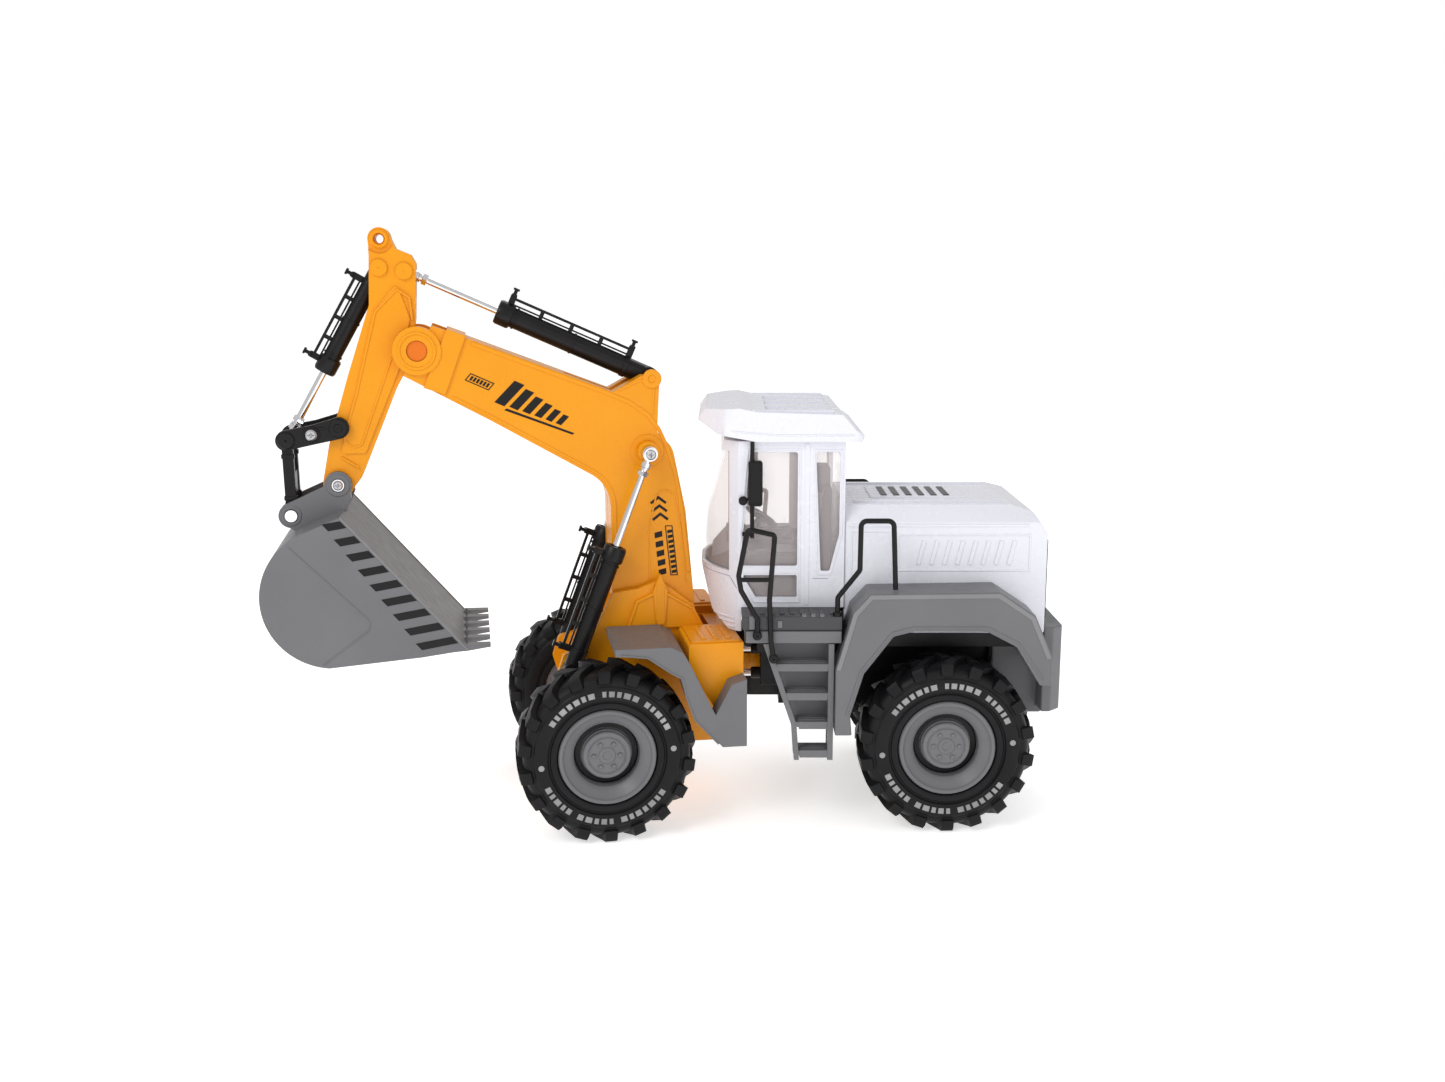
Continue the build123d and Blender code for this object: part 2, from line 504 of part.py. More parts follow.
def cab_shell():
    """The white cab moulding: pillars, sills and nose."""
    open_floor = box(-4, CAB_BACK_X - WALL, WALL - CAB_HALF, CAB_HALF - WALL, DECK_TOP - 10, DECK_TOP + 17)
    shell = cab_volume(0) - (cab_volume(WALL) + open_floor)
    low_top = DECK_TOP + 17
    low_bottom = DECK_TOP + 5.4
    rear_x = CAB_BACK_X - 2.8
    door = outline([(-2, WINDOW_TOP_Z), (22.1, WINDOW_TOP_Z), (22.1, SILL_Z), (-7, SILL_Z)], 1.2)
    low = outline([(-6, low_top), (22, low_top), (22, low_bottom), (1, low_bottom)], 0.8)
    rear = outline([(31.2, WINDOW_TOP_Z), (rear_x, WINDOW_TOP_Z), (rear_x, DECK_TOP + 38.3),
                    (rear_x - 4.8, DECK_TOP + 19.1), (34.1, DECK_TOP + 19.1)], 1.2)
    for window in (door, low, rear):
        shell -= prism(window, -2 * CAB_HALF, 2 * CAB_HALF)
    shell -= box(-60, -9.5, 5 - CAB_HALF, CAB_HALF - 5, DECK_TOP + 18.3, WINDOW_TOP_Z)
    back_half = CAB_HALF - 12
    shell -= box(CAB_BACK_X - 5, CAB_BACK_X + 5, -back_half, back_half, DECK_TOP + 25.3, CAB_TOP_Z - 8.5)
    return shell


def cab_glazing():
    """One clear insert just inside the cab's walls, open below and above."""
    outer = cab_volume(GLASS_INSET)
    inner = cab_volume(GLASS_INSET + GLASS)
    band = box(-60, CAB_BACK_X, -CAB_HALF, CAB_HALF, DECK_TOP + 3.3, CAB_TOP_Z - 4)
    return (outer - inner) & band


def cab_roof():
    base = CAB_TOP_Z + SEAT_GAP
    back = CAB_BACK_X + 9.3
    side = outline([(-28.9, base + 9.9), (-24.6, base + 15.7), (-7.4, base + 16.8), (1.2, base + 15),
                    (44.1, base + 13.7), (51.1, base + 5.7), (back, base + 3), (back - 0.8, base),
                    (1.2, base), (-18.6, base + 3.6)], 1.2, corners=(0, 1, 5))
    visor = ROOF_HALF - 16
    plan = outline([(-29, -visor), (-14, -ROOF_HALF), (back + 0.5, -ROOF_HALF), (back + 0.5, ROOF_HALF),
                    (-14, ROOF_HALF), (-29, visor)], 6.0)
    roof = prism(side, -2 * ROOF_HALF, 2 * ROOF_HALF) & extrude(plan, 2 * CAB_TOP_Z)
    panel = ROOF_HALF / 2
    for y in (-panel, 0, panel):
        roof -= box(6, 40, y - 9, y + 9, base + 13.3, base + 30)
    return roof


COLUMN = Pos(0, 0, DECK_TOP + 31.3) * Rot(0, 32, 0)     # middle of the steering column
COLUMN_LENGTH = 16.0
WHEEL_RIM_R = 1.2


def dashboard():
    low = DECK_TOP + 1.3
    face = outline([(-20, low), (-21.5, low + 20), (-10, low + 29), (-3, low + 26.5), (-1, low)], 1.5)
    half = CAB_HALF - 10
    console = prism(face, -half, half) & cab_volume(GLASS_INSET + GLASS + 3 * SEAT_GAP)
    return console + COLUMN * Cylinder(2.0, COLUMN_LENGTH)


def steering_wheel():
    place = COLUMN * Pos(0, 0, COLUMN_LENGTH / 2 + WHEEL_RIM_R + SEAT_GAP)
    return place * (Torus(8.5, WHEEL_RIM_R) + Box(17, 2, 1.6) + Cylinder(2.6, 2 * WHEEL_RIM_R))


def seat():
    low = DECK_TOP + 0.3
    side = [(12, low), (12, low + 18), (33, low + 16.5), (37.5, low + 57), (42, low + 57), (42, low)]
    return prism(outline(side, 1.6, corners=(1, 3, 4)), -15, 15)


def deck():
    """The grey platform under the cab."""
    step = 1.2
    middle = DECK_BOTTOM + 7.2
    upper = box(DECK_X[0], DECK_X[1], -DECK_HALF, DECK_HALF, middle, DECK_TOP)
    lower = box(DECK_X[0] + step, DECK_X[1], step - DECK_HALF, DECK_HALF - step, DECK_BOTTOM, middle)
    return upper + lower


def ladder():
    """The right ladder below the deck: a back plate, two pairs of rails and the steps."""
    y_out = DECK_HALF
    y_in = DECK_HALF - 13
    top = DECK_BOTTOM - SEAT_GAP
    foot = 37.5
    slanted = outline([(4.4, top), (7.4, top), (21.6, 56.2), (23, foot), (20.4, foot), (19.2, 55.2)])
    upright = outline([(37.4, top), (40.2, top), (40.2, foot), (37.4, foot)])
    rails = prism(slanted, y_out - 3.4, y_out) + prism(upright, y_out - 3.4, y_out)
    rails += prism(slanted, y_in, y_in + 2.2) + prism(upright, y_in, y_in + 2.2)
    plate = prism(outline([(4.6, top), (40.2, top), (40.2, 54), (20, 54)]), y_in, y_in + 2.0)
    whole = rails + plate
    for index in range(TREADS):
        z = 86.7 - 15.2 * index
        x_low = min(9.2 + 5.8 * index, 21.2)
        whole += box(x_low, 39, y_in, y_out - 0.2, z - 1.3, z + 1.3)
    return whole


def rear_fender():
    """The right rear mudguard, open on its inner side."""
    leg_x = REAR_AXLE_X - 57.1
    top = TYRE_TOP_Z + 36
    back_x = REAR_AXLE_X + 51.5
    outside = [(leg_x, 51.7), (leg_x, 85.8), (leg_x + 8.4, top - 10.3), (leg_x + 16.8, top - 1),
               (REAR_AXLE_X + 24.1, top), (REAR_AXLE_X + 42.1, top - 12), (back_x, top - 34), (back_x, 78)]
    arch = [(35.9, 11.3), (58.0, 17.5), (73.5, 18.6), (106.4, 18.6), (115.9, 19.9), (137.7, 13.0),
            (161.0, 7.3), (172.1, 4.0)]
    face = outline(outside + [round_axle(REAR_AXLE_X, degrees, gap) for degrees, gap in arch])
    y_in = HOOD_HALF + SEAT_GAP
    body = prism(face, y_in, FENDER_OUTER)
    body -= prism(offset(face, -WALL), y_in - 1, FENDER_OUTER - WALL)
    # room for the cab's rear corner and for the deck's end
    body -= box(0, CAB_BACK_X + SEAT_GAP, 0, CAB_HALF + SEAT_GAP, CAB_FLOOR_Z - SEAT_GAP, CAB_TOP_Z)
    return body - box(0, DECK_X[1] + SEAT_GAP, 0, DECK_HALF + SEAT_GAP, DECK_BOTTOM - SEAT_GAP, CAB_FLOOR_Z)


def hood():
    """The engine cover: an open box with sloped top edges."""
    bottom = DECK_BOTTOM + SEAT_GAP
    x_low = CAB_BACK_X + SEAT_GAP
    shoulder = HOOD_TOP - HOOD_SLOPE
    flat = HOOD_HALF - HOOD_SLOPE
    section = [(-HOOD_HALF, bottom), (-HOOD_HALF, shoulder), (-flat, HOOD_TOP), (flat, HOOD_TOP),
               (HOOD_HALF, shoulder), (HOOD_HALF, bottom)]
    face = make_face(Polyline(*section, close=True))
    plane = Plane(origin=(x_low, 0, 0), x_dir=(0, 1, 0), z_dir=(1, 0, 0))
    solid = extrude(plane * face, HOOD_BACK_X - x_low)
    side = outline([(x_low, bottom), (x_low, HOOD_TOP), (HOOD_BACK_X - 18, HOOD_TOP),
                    (HOOD_BACK_X - 7, HOOD_TOP - 3), (HOOD_BACK_X, HOOD_TOP - 14), (HOOD_BACK_X, bottom)],
                   3.0, corners=(2, 3, 4))
    solid &= prism(side, -2 * HOOD_HALF, 2 * HOOD_HALF)
    room_plane = Plane(origin=(x_low + WALL, 0, -WALL), x_dir=(0, 1, 0), z_dir=(1, 0, 0))
    room = extrude(room_plane * offset(face, -WALL), HOOD_BACK_X - x_low - 2 * WALL)
    room += box(x_low + WALL, HOOD_BACK_X - WALL, WALL - HOOD_HALF, HOOD_HALF - WALL, bottom - 5, bottom + 8)
    low_side = outline([(x_low + WALL, bottom - 9), (x_low + WALL, bottom + 31),
                        (HOOD_BACK_X - WALL, bottom + 31), (HOOD_BACK_X - WALL, bottom - 9)])
    return solid - (room & prism(offset(side, -WALL) + low_side, -2 * HOOD_HALF, 2 * HOOD_HALF))


def radiator_grille():
    """A plate with slats across it, on the engine cover's back."""
    x = HOOD_BACK_X + SEAT_GAP
    half = HOOD_HALF - 10
    low = DECK_BOTTOM + 5.3
    pitch = 4.4
    slats = 9
    frame = box(x, x + 2.4, -half, half, low, low + slats * pitch + 2.4)
    for index in range(slats):
        z = low + 3.2 + index * pitch
        frame -= box(x + 0.9, x + 5, 4 - half, half - 4, z, z + 2.4)
    return frame


def counterweight():
    """The heavy block that closes the chassis at the back."""
    x_face = HOOD_BACK_X + SEAT_GAP
    inner_half = CHASSIS_HALF + 10
    inner = box(CHASSIS_END - 2, x_face + 3, 0, inner_half, 52, DECK_BOTTOM - SEAT_GAP)
    outer = box(x_face, x_face + 11, 0, HOOD_HALF - 1, 56, DECK_BOTTOM + 3)
    block = chamfer(outer.edges().filter_by(Axis.Z).sort_by(Axis.X)[-1:], 6)
    beam_room = CHASSIS_HALF + SEAT_GAP
    end = CHASSIS_END + SEAT_GAP
    return both_sides(inner + block) - box(CHASSIS_END - 30, end, -beam_room, beam_room, 40, 120)


def rear_chassis():
    """The black main frame: beam, axle housing and the fork that holds the steering pin."""
    top = DECK_BOTTOM - SEAT_GAP
    shelf_z = TYRE_TOP_Z + 0.6
    shelf_half = HOOD_HALF - 4
    beam = box(14, CHASSIS_END, -CHASSIS_HALF, CHASSIS_HALF, 54, top)
    shelf = box(CAB_BACK_X + 2.4, HOOD_BACK_X - WALL - 1, -shelf_half, shelf_half, shelf_z, top)
    weight_half = CHASSIS_HALF + 10 + SEAT_GAP
    shelf -= box(CHASSIS_END - 2 - SEAT_GAP, HOOD_BACK_X, -weight_half, weight_half, 0, top + 1)
    housing = box(REAR_AXLE_X - 12, REAR_AXLE_X + 12, -HOUSING_HALF, HOUSING_HALF, AXLE_Z - 10, 60)
    body = beam + shelf + housing
    body += box(2, 42, -DECK_HALF + 13.5, DECK_HALF - 13.5, shelf_z, top)
    tongue_low = STEER_Z + 0.5 - TONGUE / 2 - 0.7
    tongue_high = STEER_Z + 0.5 + TONGUE / 2 + 0.7
    for z_low, z_high in ((54, tongue_low), (tongue_high, shelf_z + 1)):
        body += box(0, 20, -HINGE_R, HINGE_R, z_low, z_high)
        body += Pos(0, 0, (z_low + z_high) / 2) * Cylinder(HINGE_R, z_high - z_low)
    body -= Pos(0, 0, STEER_Z) * Cylinder(BIG_PIN_R + RUN_GAP, 60)
    body -= Pos(REAR_AXLE_X, 0, AXLE_Z) * Rot(90, 0, 0) * Cylinder(AXLE_BORE_R, 4 * HALF_WIDTH)
    return body


def front_handrail():
    y = DECK_HALF + RAIL_R + SEAT_GAP
    low = DECK_BOTTOM
    outer = tube([(9.7, y, low - 7.7), (8.3, y, low + 1.3), (7.4, y, low + 23.3), (9.9, y, low + 55.9),
                  (-3.4, y, low + 58.9), (-8.0, y, low + 35.3), (-6.8, y, low + 27.8), (1.4, y, low + 13.3),
                  (1.4, y, low + 4.3)], RAIL_R, 2.0)
    cross = Pos(0, y, low + 33.3) * Rot(0, 90, 0) * Cylinder(RAIL_R * 0.9, 15.4)
    return outer + cross


def rear_handrail():
    y = DECK_HALF - 2 * RAIL_R
    x = DECK_X[1] - 1 - RAIL_R
    fender_top = TYRE_TOP_Z + 36.2
    return tube([(x, y, DECK_TOP + SEAT_GAP), (x, y, DECK_TOP + 9.3), (x + 10.9, y, fender_top + 9.8),
                 (x + 11.1, y, fender_top + 34.8), (x + 27.3, y, fender_top + 34.8),
                 (x + 28.9, y, fender_top)], RAIL_R, 3.0)


def side_mirror():
    """The right mirror: a rod down from the roof's edge and a tall mirror head."""
    stem_r = 1.1
    y = CAB_HALF + 2 * stem_r
    length = 49.0
    stem = Pos(-1.0, y, CAB_TOP_Z - length / 2) * Cylinder(stem_r, length)
    head = box(-3.0, 4.2, y - 1.5, y + 1.9, CAB_TOP_Z - 32.5, CAB_TOP_Z - 9.5)
    head = fillet(head.edges().filter_by(Axis.Y), 1.5)
    foot = Pos(-3.0, y, CAB_TOP_Z - 47) * Rot(0, 90, 0) * Cylinder(stem_r, 6)
    return stem + head + foot


# ---- assembly ----
lift_length = distance(LIFT_BASE, LIFT_EYE)
stick_cylinder_length = distance(HORN_PIN, STICK_ROD_PIN)
bucket_cylinder_length = distance(BUCKET_BARREL_PIN, ROCKER_END)
lift_place = Pos(0, LIFT_Y, 0) * along(LIFT_BASE, LIFT_EYE)
stick_cylinder_place = along(HORN_PIN, STICK_ROD_PIN)
bucket_cylinder_place = along(BUCKET_BARREL_PIN, ROCKER_END)

front = wheel_set("front", FRONT_AXLE_X)
front["front_frame_right"] = front_frame_half()
front["front_frame_left"] = left_of(front["front_frame_right"])
front["front_fender_right"] = front_fender()
front["front_fender_left"] = left_of(front["front_fender_right"])
front["boom_foot_pin"] = pin(BOOM_FOOT, BIG_PIN_R, CHEEK_OUT - SEAT_GAP)
front["boom_right_half"] = boom_half()
front["boom_left_half"] = left_of(front["boom_right_half"])
front["stick_pivot_pin"] = pin(STICK_PIVOT, BIG_PIN_R, BOOM_HALF, STICK_HEAD_R)
lift_pin = pin(LIFT_EYE, PIN_R, LIFT_Y + ROD_EYE_HALF + 0.4, PIN_R + 1.6, 1.5)
front["boom_pins"] = Compound([lift_pin, pin(HORN_PIN, PIN_R, BOOM_HALF)])
front["stick_right_half"] = stick_half()
front["stick_left_half"] = left_of(front["stick_right_half"])
stick_pins = [pin(place, PIN_R, STICK_HALF) for place in (STICK_ROD_PIN, BUCKET_BARREL_PIN)]
front["stick_pins"] = Compound(stick_pins)
front["bucket"] = bucket()
small_head_r = PIN_R + 1.2
bucket_pins = [pin(place, PIN_R, EAR_OUT, small_head_r) for place in (BUCKET_PIVOT, LINK_PIN)]
front["bucket_pins"] = Compound(bucket_pins)
front["rocker_right_plate"] = rocker_plate()
front["rocker_left_plate"] = left_of(front["rocker_right_plate"])
spacer_r = PIN_R + 1.0
spacer = both_sides(disc(ROCKER_SPACER, spacer_r, 0, EAR_IN - SEAT_GAP))
spacer += pin(ROCKER_SPACER, PIN_R, ROCKER_HALF, spacer_r)
plain_pins = [pin(place, PIN_R, ROCKER_HALF) for place in (ROCKER_PIVOT, ROCKER_END)]
front["rocker_pins"] = Compound([spacer] + plain_pins)
front["bucket_link"] = bucket_link()
front["lift_barrel_right"] = lift_place * barrel(LIFT_BARREL_LEN, LIFT_BARREL_R, STUB_R, 1)
front["lift_barrel_left"] = left_of(front["lift_barrel_right"])
front["lift_rod_right"] = lift_place * rod(lift_length, LIFT_ROD_LEN, PIN_R)
front["lift_rod_left"] = left_of(front["lift_rod_right"])
front["stick_barrel"] = stick_cylinder_place * barrel(STICK_BARREL_LEN, STICK_BARREL_R, PIN_R, -1)
front["stick_rod"] = stick_cylinder_place * rod(stick_cylinder_length, STICK_ROD_LEN, PIN_R)
front["bucket_barrel"] = bucket_cylinder_place * barrel(BUCKET_BARREL_LEN, BUCKET_BARREL_R, PIN_R, -1)
front["bucket_rod"] = bucket_cylinder_place * rod(bucket_cylinder_length, BUCKET_ROD_LEN, PIN_R)

rear = wheel_set("rear", REAR_AXLE_X)
rear["rear_chassis"] = rear_chassis()
rear["articulation_pin"] = Pos(0, 0, STEER_Z) * Cylinder(BIG_PIN_R, 36)
rear["deck"] = deck()
rear["cab_shell"] = cab_shell()
rear["cab_glazing"] = cab_glazing()
rear["cab_roof"] = cab_roof()
rear["dashboard"] = dashboard()
rear["steering_wheel"] = steering_wheel()
rear["driver_seat"] = seat()
rear["hood"] = hood()
rear["radiator_grille"] = radiator_grille()
rear["counterweight"] = counterweight()
for name, make in (("ladder", ladder), ("rear_fender", rear_fender), ("front_handrail", front_handrail),
                   ("rear_handrail", rear_handrail), ("side_mirror", side_mirror)):
    rear[name + "_right"] = make()
    rear[name + "_left"] = left_of(rear[name + "_right"])

steer = Rot(0, 0, STEER_DEG)
nodes = {name: steer * shape for name, shape in front.items()}
nodes.update(rear)

# The origin is the middle of the whole machine's box, on the ground.
whole = Compound([shape for shape in nodes.values()]).bounding_box()
ORIGIN_SHIFT = (-(whole.min.X + whole.max.X) / 2, -(whole.min.Y + whole.max.Y) / 2, -whole.min.Z)
print("origin shift", [round(value, 4) for value in ORIGIN_SHIFT], "size", whole.size)

for name, shape in nodes.items():
    placed = Pos(*ORIGIN_SHIFT) * shape
    export_step(placed, f"parts/{name}.step")
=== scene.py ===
"""Looks of the toy backhoe loader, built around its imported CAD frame. Metres, row frame."""
import json
import math

import bmesh
import bpy
from mathutils import Matrix, Vector


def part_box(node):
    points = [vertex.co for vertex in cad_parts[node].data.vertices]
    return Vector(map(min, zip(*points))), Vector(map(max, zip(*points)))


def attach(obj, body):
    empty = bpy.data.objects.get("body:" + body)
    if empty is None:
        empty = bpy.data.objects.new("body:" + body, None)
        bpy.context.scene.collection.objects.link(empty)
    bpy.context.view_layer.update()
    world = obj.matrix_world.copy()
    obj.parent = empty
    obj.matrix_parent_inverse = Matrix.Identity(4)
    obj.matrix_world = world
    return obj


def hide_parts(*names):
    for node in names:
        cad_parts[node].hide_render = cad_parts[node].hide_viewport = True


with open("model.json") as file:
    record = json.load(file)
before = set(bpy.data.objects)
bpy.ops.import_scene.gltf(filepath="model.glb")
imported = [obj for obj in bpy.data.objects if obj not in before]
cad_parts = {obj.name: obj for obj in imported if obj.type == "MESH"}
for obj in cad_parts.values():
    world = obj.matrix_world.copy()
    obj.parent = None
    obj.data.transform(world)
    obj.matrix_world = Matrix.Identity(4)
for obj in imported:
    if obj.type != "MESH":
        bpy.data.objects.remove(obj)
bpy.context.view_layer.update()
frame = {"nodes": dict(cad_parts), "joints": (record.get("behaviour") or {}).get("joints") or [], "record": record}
nodes = frame["nodes"]
joints = {joint["name"]: joint for joint in frame["joints"]}
MM = 0.001
FOOT = 0.3              # how far a raised trim's foot lies inside its wall, in millimetres
PRINT_FOOT = 0.05       # the same for a print
PRINT_PROUD = 0.12      # how far a print stands out

# ---- places read from the frame ----
steer = Vector(joints["steer"]["pos_m"])
PIVOT = Vector((steer.x, steer.y, 0.0))
arm_axis = Vector(joints["boom_lift"]["axis"])
STEER = math.atan2(-arm_axis.x, arm_axis.y)
FRONT = Matrix.Translation(PIVOT) @ Matrix.Rotation(STEER, 4, "Z")      # front frame, straight ahead is -X
REAR = Matrix.Translation(PIVOT)
TO_FRONT = FRONT.inverted()


def pivot(joint):
    """A joint's place in the front frame's own coordinates, in metres."""
    return TO_FRONT @ Vector(joints[joint]["pos_m"])


# ---------------------------------------------------------------- materials
def new_material(name):
    material = bpy.data.materials.new(name)
    material.use_nodes = True
    shader = material.node_tree.nodes["Principled BSDF"]
    return material, material.node_tree, shader


def add_node(tree, kind, **values):
    node = tree.nodes.new(kind)
    for key, value in values.items():
        if key in node.inputs:
            node.inputs[key].default_value = value
        else:
            setattr(node, key, value)
    return node


def rgba(colour):
    return (*colour, 1.0)


def plastic(name, colour, dark, roughness=0.32, grain=0.1, grain_scale=2600.0, coat=0.0, edge=0.00035,
            shine=0.5):
    """Moulded plastic: two close tones in soft patches, a fine grain, uneven gloss and rounded edges."""
    material, tree, shader = new_material(name)
    link = tree.links.new
    coords = add_node(tree, "ShaderNodeTexCoord")
    patches = add_node(tree, "ShaderNodeTexNoise", Scale=28.0, Detail=3.0, Roughness=0.55)
    link(coords.outputs["Object"], patches.inputs["Vector"])
    tone = add_node(tree, "ShaderNodeValToRGB")
    tone.color_ramp.elements[0].position = 0.3
    tone.color_ramp.elements[0].color = rgba(dark)
    tone.color_ramp.elements[1].position = 0.7
    tone.color_ramp.elements[1].color = rgba(colour)
    link(patches.outputs["Fac"], tone.inputs["Fac"])
    link(tone.outputs["Color"], shader.inputs["Base Color"])
    smear = add_node(tree, "ShaderNodeTexNoise", Scale=160.0, Detail=4.0, Roughness=0.6)
    link(coords.outputs["Object"], smear.inputs["Vector"])
    gloss = add_node(tree, "ShaderNodeMapRange")
    gloss.inputs["From Min"].default_value = 0.25
    gloss.inputs["From Max"].default_value = 0.75
    gloss.inputs["To Min"].default_value = max(0.05, roughness - 0.07)
    gloss.inputs["To Max"].default_value = roughness + 0.07
    link(smear.outputs["Fac"], gloss.inputs["Value"])
    link(gloss.outputs["Result"], shader.inputs["Roughness"])
    fine = add_node(tree, "ShaderNodeTexNoise", Scale=grain_scale, Detail=2.0, Roughness=0.5)
    link(coords.outputs["Object"], fine.inputs["Vector"])
    bump = add_node(tree, "ShaderNodeBump", Strength=grain, Distance=0.0002)
    link(fine.outputs["Fac"], bump.inputs["Height"])
    if edge:
        rounded = add_node(tree, "ShaderNodeBevel", samples=4, Radius=edge)
        link(rounded.outputs["Normal"], bump.inputs["Normal"])
    link(bump.outputs["Normal"], shader.inputs["Normal"])
    shader.inputs["Specular IOR Level"].default_value = shine
    shader.inputs["Coat Weight"].default_value = coat
    shader.inputs["Coat Roughness"].default_value = 0.12
    return material


def metal(name, colour, roughness, scratch=0.08):
    """Bright or drawn metal with an uneven, finely scratched gloss."""
    material, tree, shader = new_material(name)
    link = tree.links.new
    coords = add_node(tree, "ShaderNodeTexCoord")
    lines = add_node(tree, "ShaderNodeTexNoise", Scale=420.0, Detail=5.0, Roughness=0.65)
    link(coords.outputs["Object"], lines.inputs["Vector"])
    gloss = add_node(tree, "ShaderNodeMapRange")
    gloss.inputs["To Min"].default_value = max(0.03, roughness - scratch)
    gloss.inputs["To Max"].default_value = roughness + scratch
    link(lines.outputs["Fac"], gloss.inputs["Value"])
    link(gloss.outputs["Result"], shader.inputs["Roughness"])
    bump = add_node(tree, "ShaderNodeBump", Strength=0.06, Distance=0.0001)
    link(lines.outputs["Fac"], bump.inputs["Height"])
    link(bump.outputs["Normal"], shader.inputs["Normal"])
    shader.inputs["Base Color"].default_value = rgba(colour)
    shader.inputs["Metallic"].default_value = 1.0
    return material


def clear_plastic(name, tint):
    """Thin clear moulding with a faint tint."""
    material, tree, shader = new_material(name)
    shader.inputs["Base Color"].default_value = rgba(tint)
    shader.inputs["Roughness"].default_value = 0.04
    shader.inputs["IOR"].default_value = 1.45
    shader.inputs["Alpha"].default_value = 0.2
    shader.inputs["Coat Weight"].default_value = 0.5
    coords = add_node(tree, "ShaderNodeTexCoord")
    waves = add_node(tree, "ShaderNodeTexNoise", Scale=60.0, Detail=2.0)
    tree.links.new(coords.outputs["Object"], waves.inputs["Vector"])
    bump = add_node(tree, "ShaderNodeBump", Strength=0.05, Distance=0.0002)
    tree.links.new(waves.outputs["Fac"], bump.inputs["Height"])
    tree.links.new(bump.outputs["Normal"], shader.inputs["Normal"])
    return material


YELLOW = plastic("yellow_plastic", (0.82, 0.315, 0.004), (0.79, 0.292, 0.003), 0.30, shine=0.3)
ORANGE = plastic("orange_plastic", (0.74, 0.17, 0.006), (0.70, 0.15, 0.005), 0.34, shine=0.3)
GREY = plastic("grey_plastic", (0.158, 0.158, 0.166), (0.143, 0.143, 0.151), 0.40, grain=0.14, shine=0.35)
DARK_GREY = plastic("dark_grey_plastic", (0.060, 0.060, 0.064), (0.050, 0.050, 0.054), 0.44, grain=0.16,
                    shine=0.35)
WHITE = plastic("white_plastic", (0.785, 0.785, 0.85), (0.775, 0.775, 0.842), 0.26, grain=0.02, coat=0.15)
BLACK = plastic("black_plastic", (0.006, 0.005, 0.006), (0.010, 0.009, 0.009), 0.34, grain=0.12, shine=0.24)
RUBBER = plastic("tyre_rubber", (0.005, 0.005, 0.006), (0.009, 0.009, 0.010), 0.46, grain=0.25,
                 grain_scale=1500.0, shine=0.2)
LIGHT_GREY = plastic("light_grey_plastic", (0.225, 0.225, 0.233), (0.205, 0.205, 0.212), 0.40, grain=0.14,
                     shine=0.35)
CHROME = metal("chrome_metal", (0.82, 0.82, 0.84), 0.12)
STEEL = metal("steel", (0.55, 0.55, 0.57), 0.3)
CLEAR = clear_plastic("clear_plastic", (0.93, 0.84, 0.84))

MATERIAL_OF_SLOT = {"yellow_plastic": YELLOW, "orange_plastic": ORANGE, "grey_plastic": GREY,
                    "dark_grey_plastic": DARK_GREY, "white_plastic": WHITE, "black_plastic": BLACK,
                    "tyre_rubber": RUBBER, "chrome_metal": CHROME, "steel": STEEL, "clear_plastic": CLEAR}
SLOT_OF_MATERIAL = {material.name: slot for slot, material in MATERIAL_OF_SLOT.items()}
# materials that only scene.py has, and the record's slot that each belongs to
SLOT_OF_MATERIAL.update({
    "light_grey_plastic": "grey_plastic", "black_print": "black_plastic", "bucket_shade_paint": "black_plastic",
    "seam_shadow": "dark_grey_plastic", "tyre_mark_paint": "tyre_rubber"})


def paint(piece, material):
    piece.data.materials.clear()
    piece.data.materials.append(material)


slot_of_node = {part["node"]: part["material_slot"] for part in frame["record"]["subparts"]}
for name, node in nodes.items():
    paint(node, MATERIAL_OF_SLOT[slot_of_node[name]])

# ---------------------------------------------------------------- mesh tools, all in millimetres
def piece_from(name, body, material, place, maker, bevel=0.0, smooth=32.0, stands_for=(), slot=None):
    """Runs maker on a new mesh, puts it in place, rounds its edges and makes it ride on a body."""
    grid = bmesh.new()
    maker(grid)
    bmesh.ops.scale(grid, vec=(MM, MM, MM), verts=grid.verts)
    grid.transform(place)
    bmesh.ops.recalc_face_normals(grid, faces=grid.faces)
    mesh = bpy.data.meshes.new(name)
    grid.to_mesh(mesh)
    grid.free()
    mesh.polygons.foreach_set("use_smooth", [True] * len(mesh.polygons))
    mesh.set_sharp_from_angle(angle=math.radians(smooth))
    piece = bpy.data.objects.new(name, mesh)
    bpy.context.scene.collection.objects.link(piece)
    if bevel:
        rounding = piece.modifiers.new("edges", "BEVEL")
        rounding.width = bevel * MM
        rounding.segments = 3
        rounding.limit_method = "ANGLE"
        rounding.angle_limit = math.radians(28)
        rounding.harden_normals = True
    paint(piece, material)
    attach(piece, body)
    if stands_for:
        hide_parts(*stands_for)
    return piece


def prism(grid, outline, y_low, y_high):
    """A closed slab whose outline is given in x and z."""
    near = [grid.verts.new((x, y_low, z)) for x, z in outline]
    far = [grid.verts.new((x, y_high, z)) for x, z in outline]
    grid.faces.new(near)
    grid.faces.new(list(reversed(far)))
    count = len(outline)
    for index in range(count):
        after = (index + 1) % count
        grid.faces.new((near[index], far[index], far[after], near[after]))


def lathe(grid, profile, steps, turn=None):
    """A closed ring swept round the Y axis from (radius, y) points. turn moves it in place."""
    rings = []
    for step in range(steps):
        angle = 2 * math.pi * step / steps
        ring = [grid.verts.new((r * math.cos(angle), y, r * math.sin(angle))) for r, y in profile]
        rings.append(ring)
    if turn:
        for ring in rings:
            for vert in ring:
                vert.co = turn @ vert.co
    count = len(profile)
    for step in range(steps):
        here, there = rings[step], rings[(step + 1) % steps]
        for index in range(count):
            after = (index + 1) % count
            grid.faces.new((here[index], here[after], there[after], there[index]))


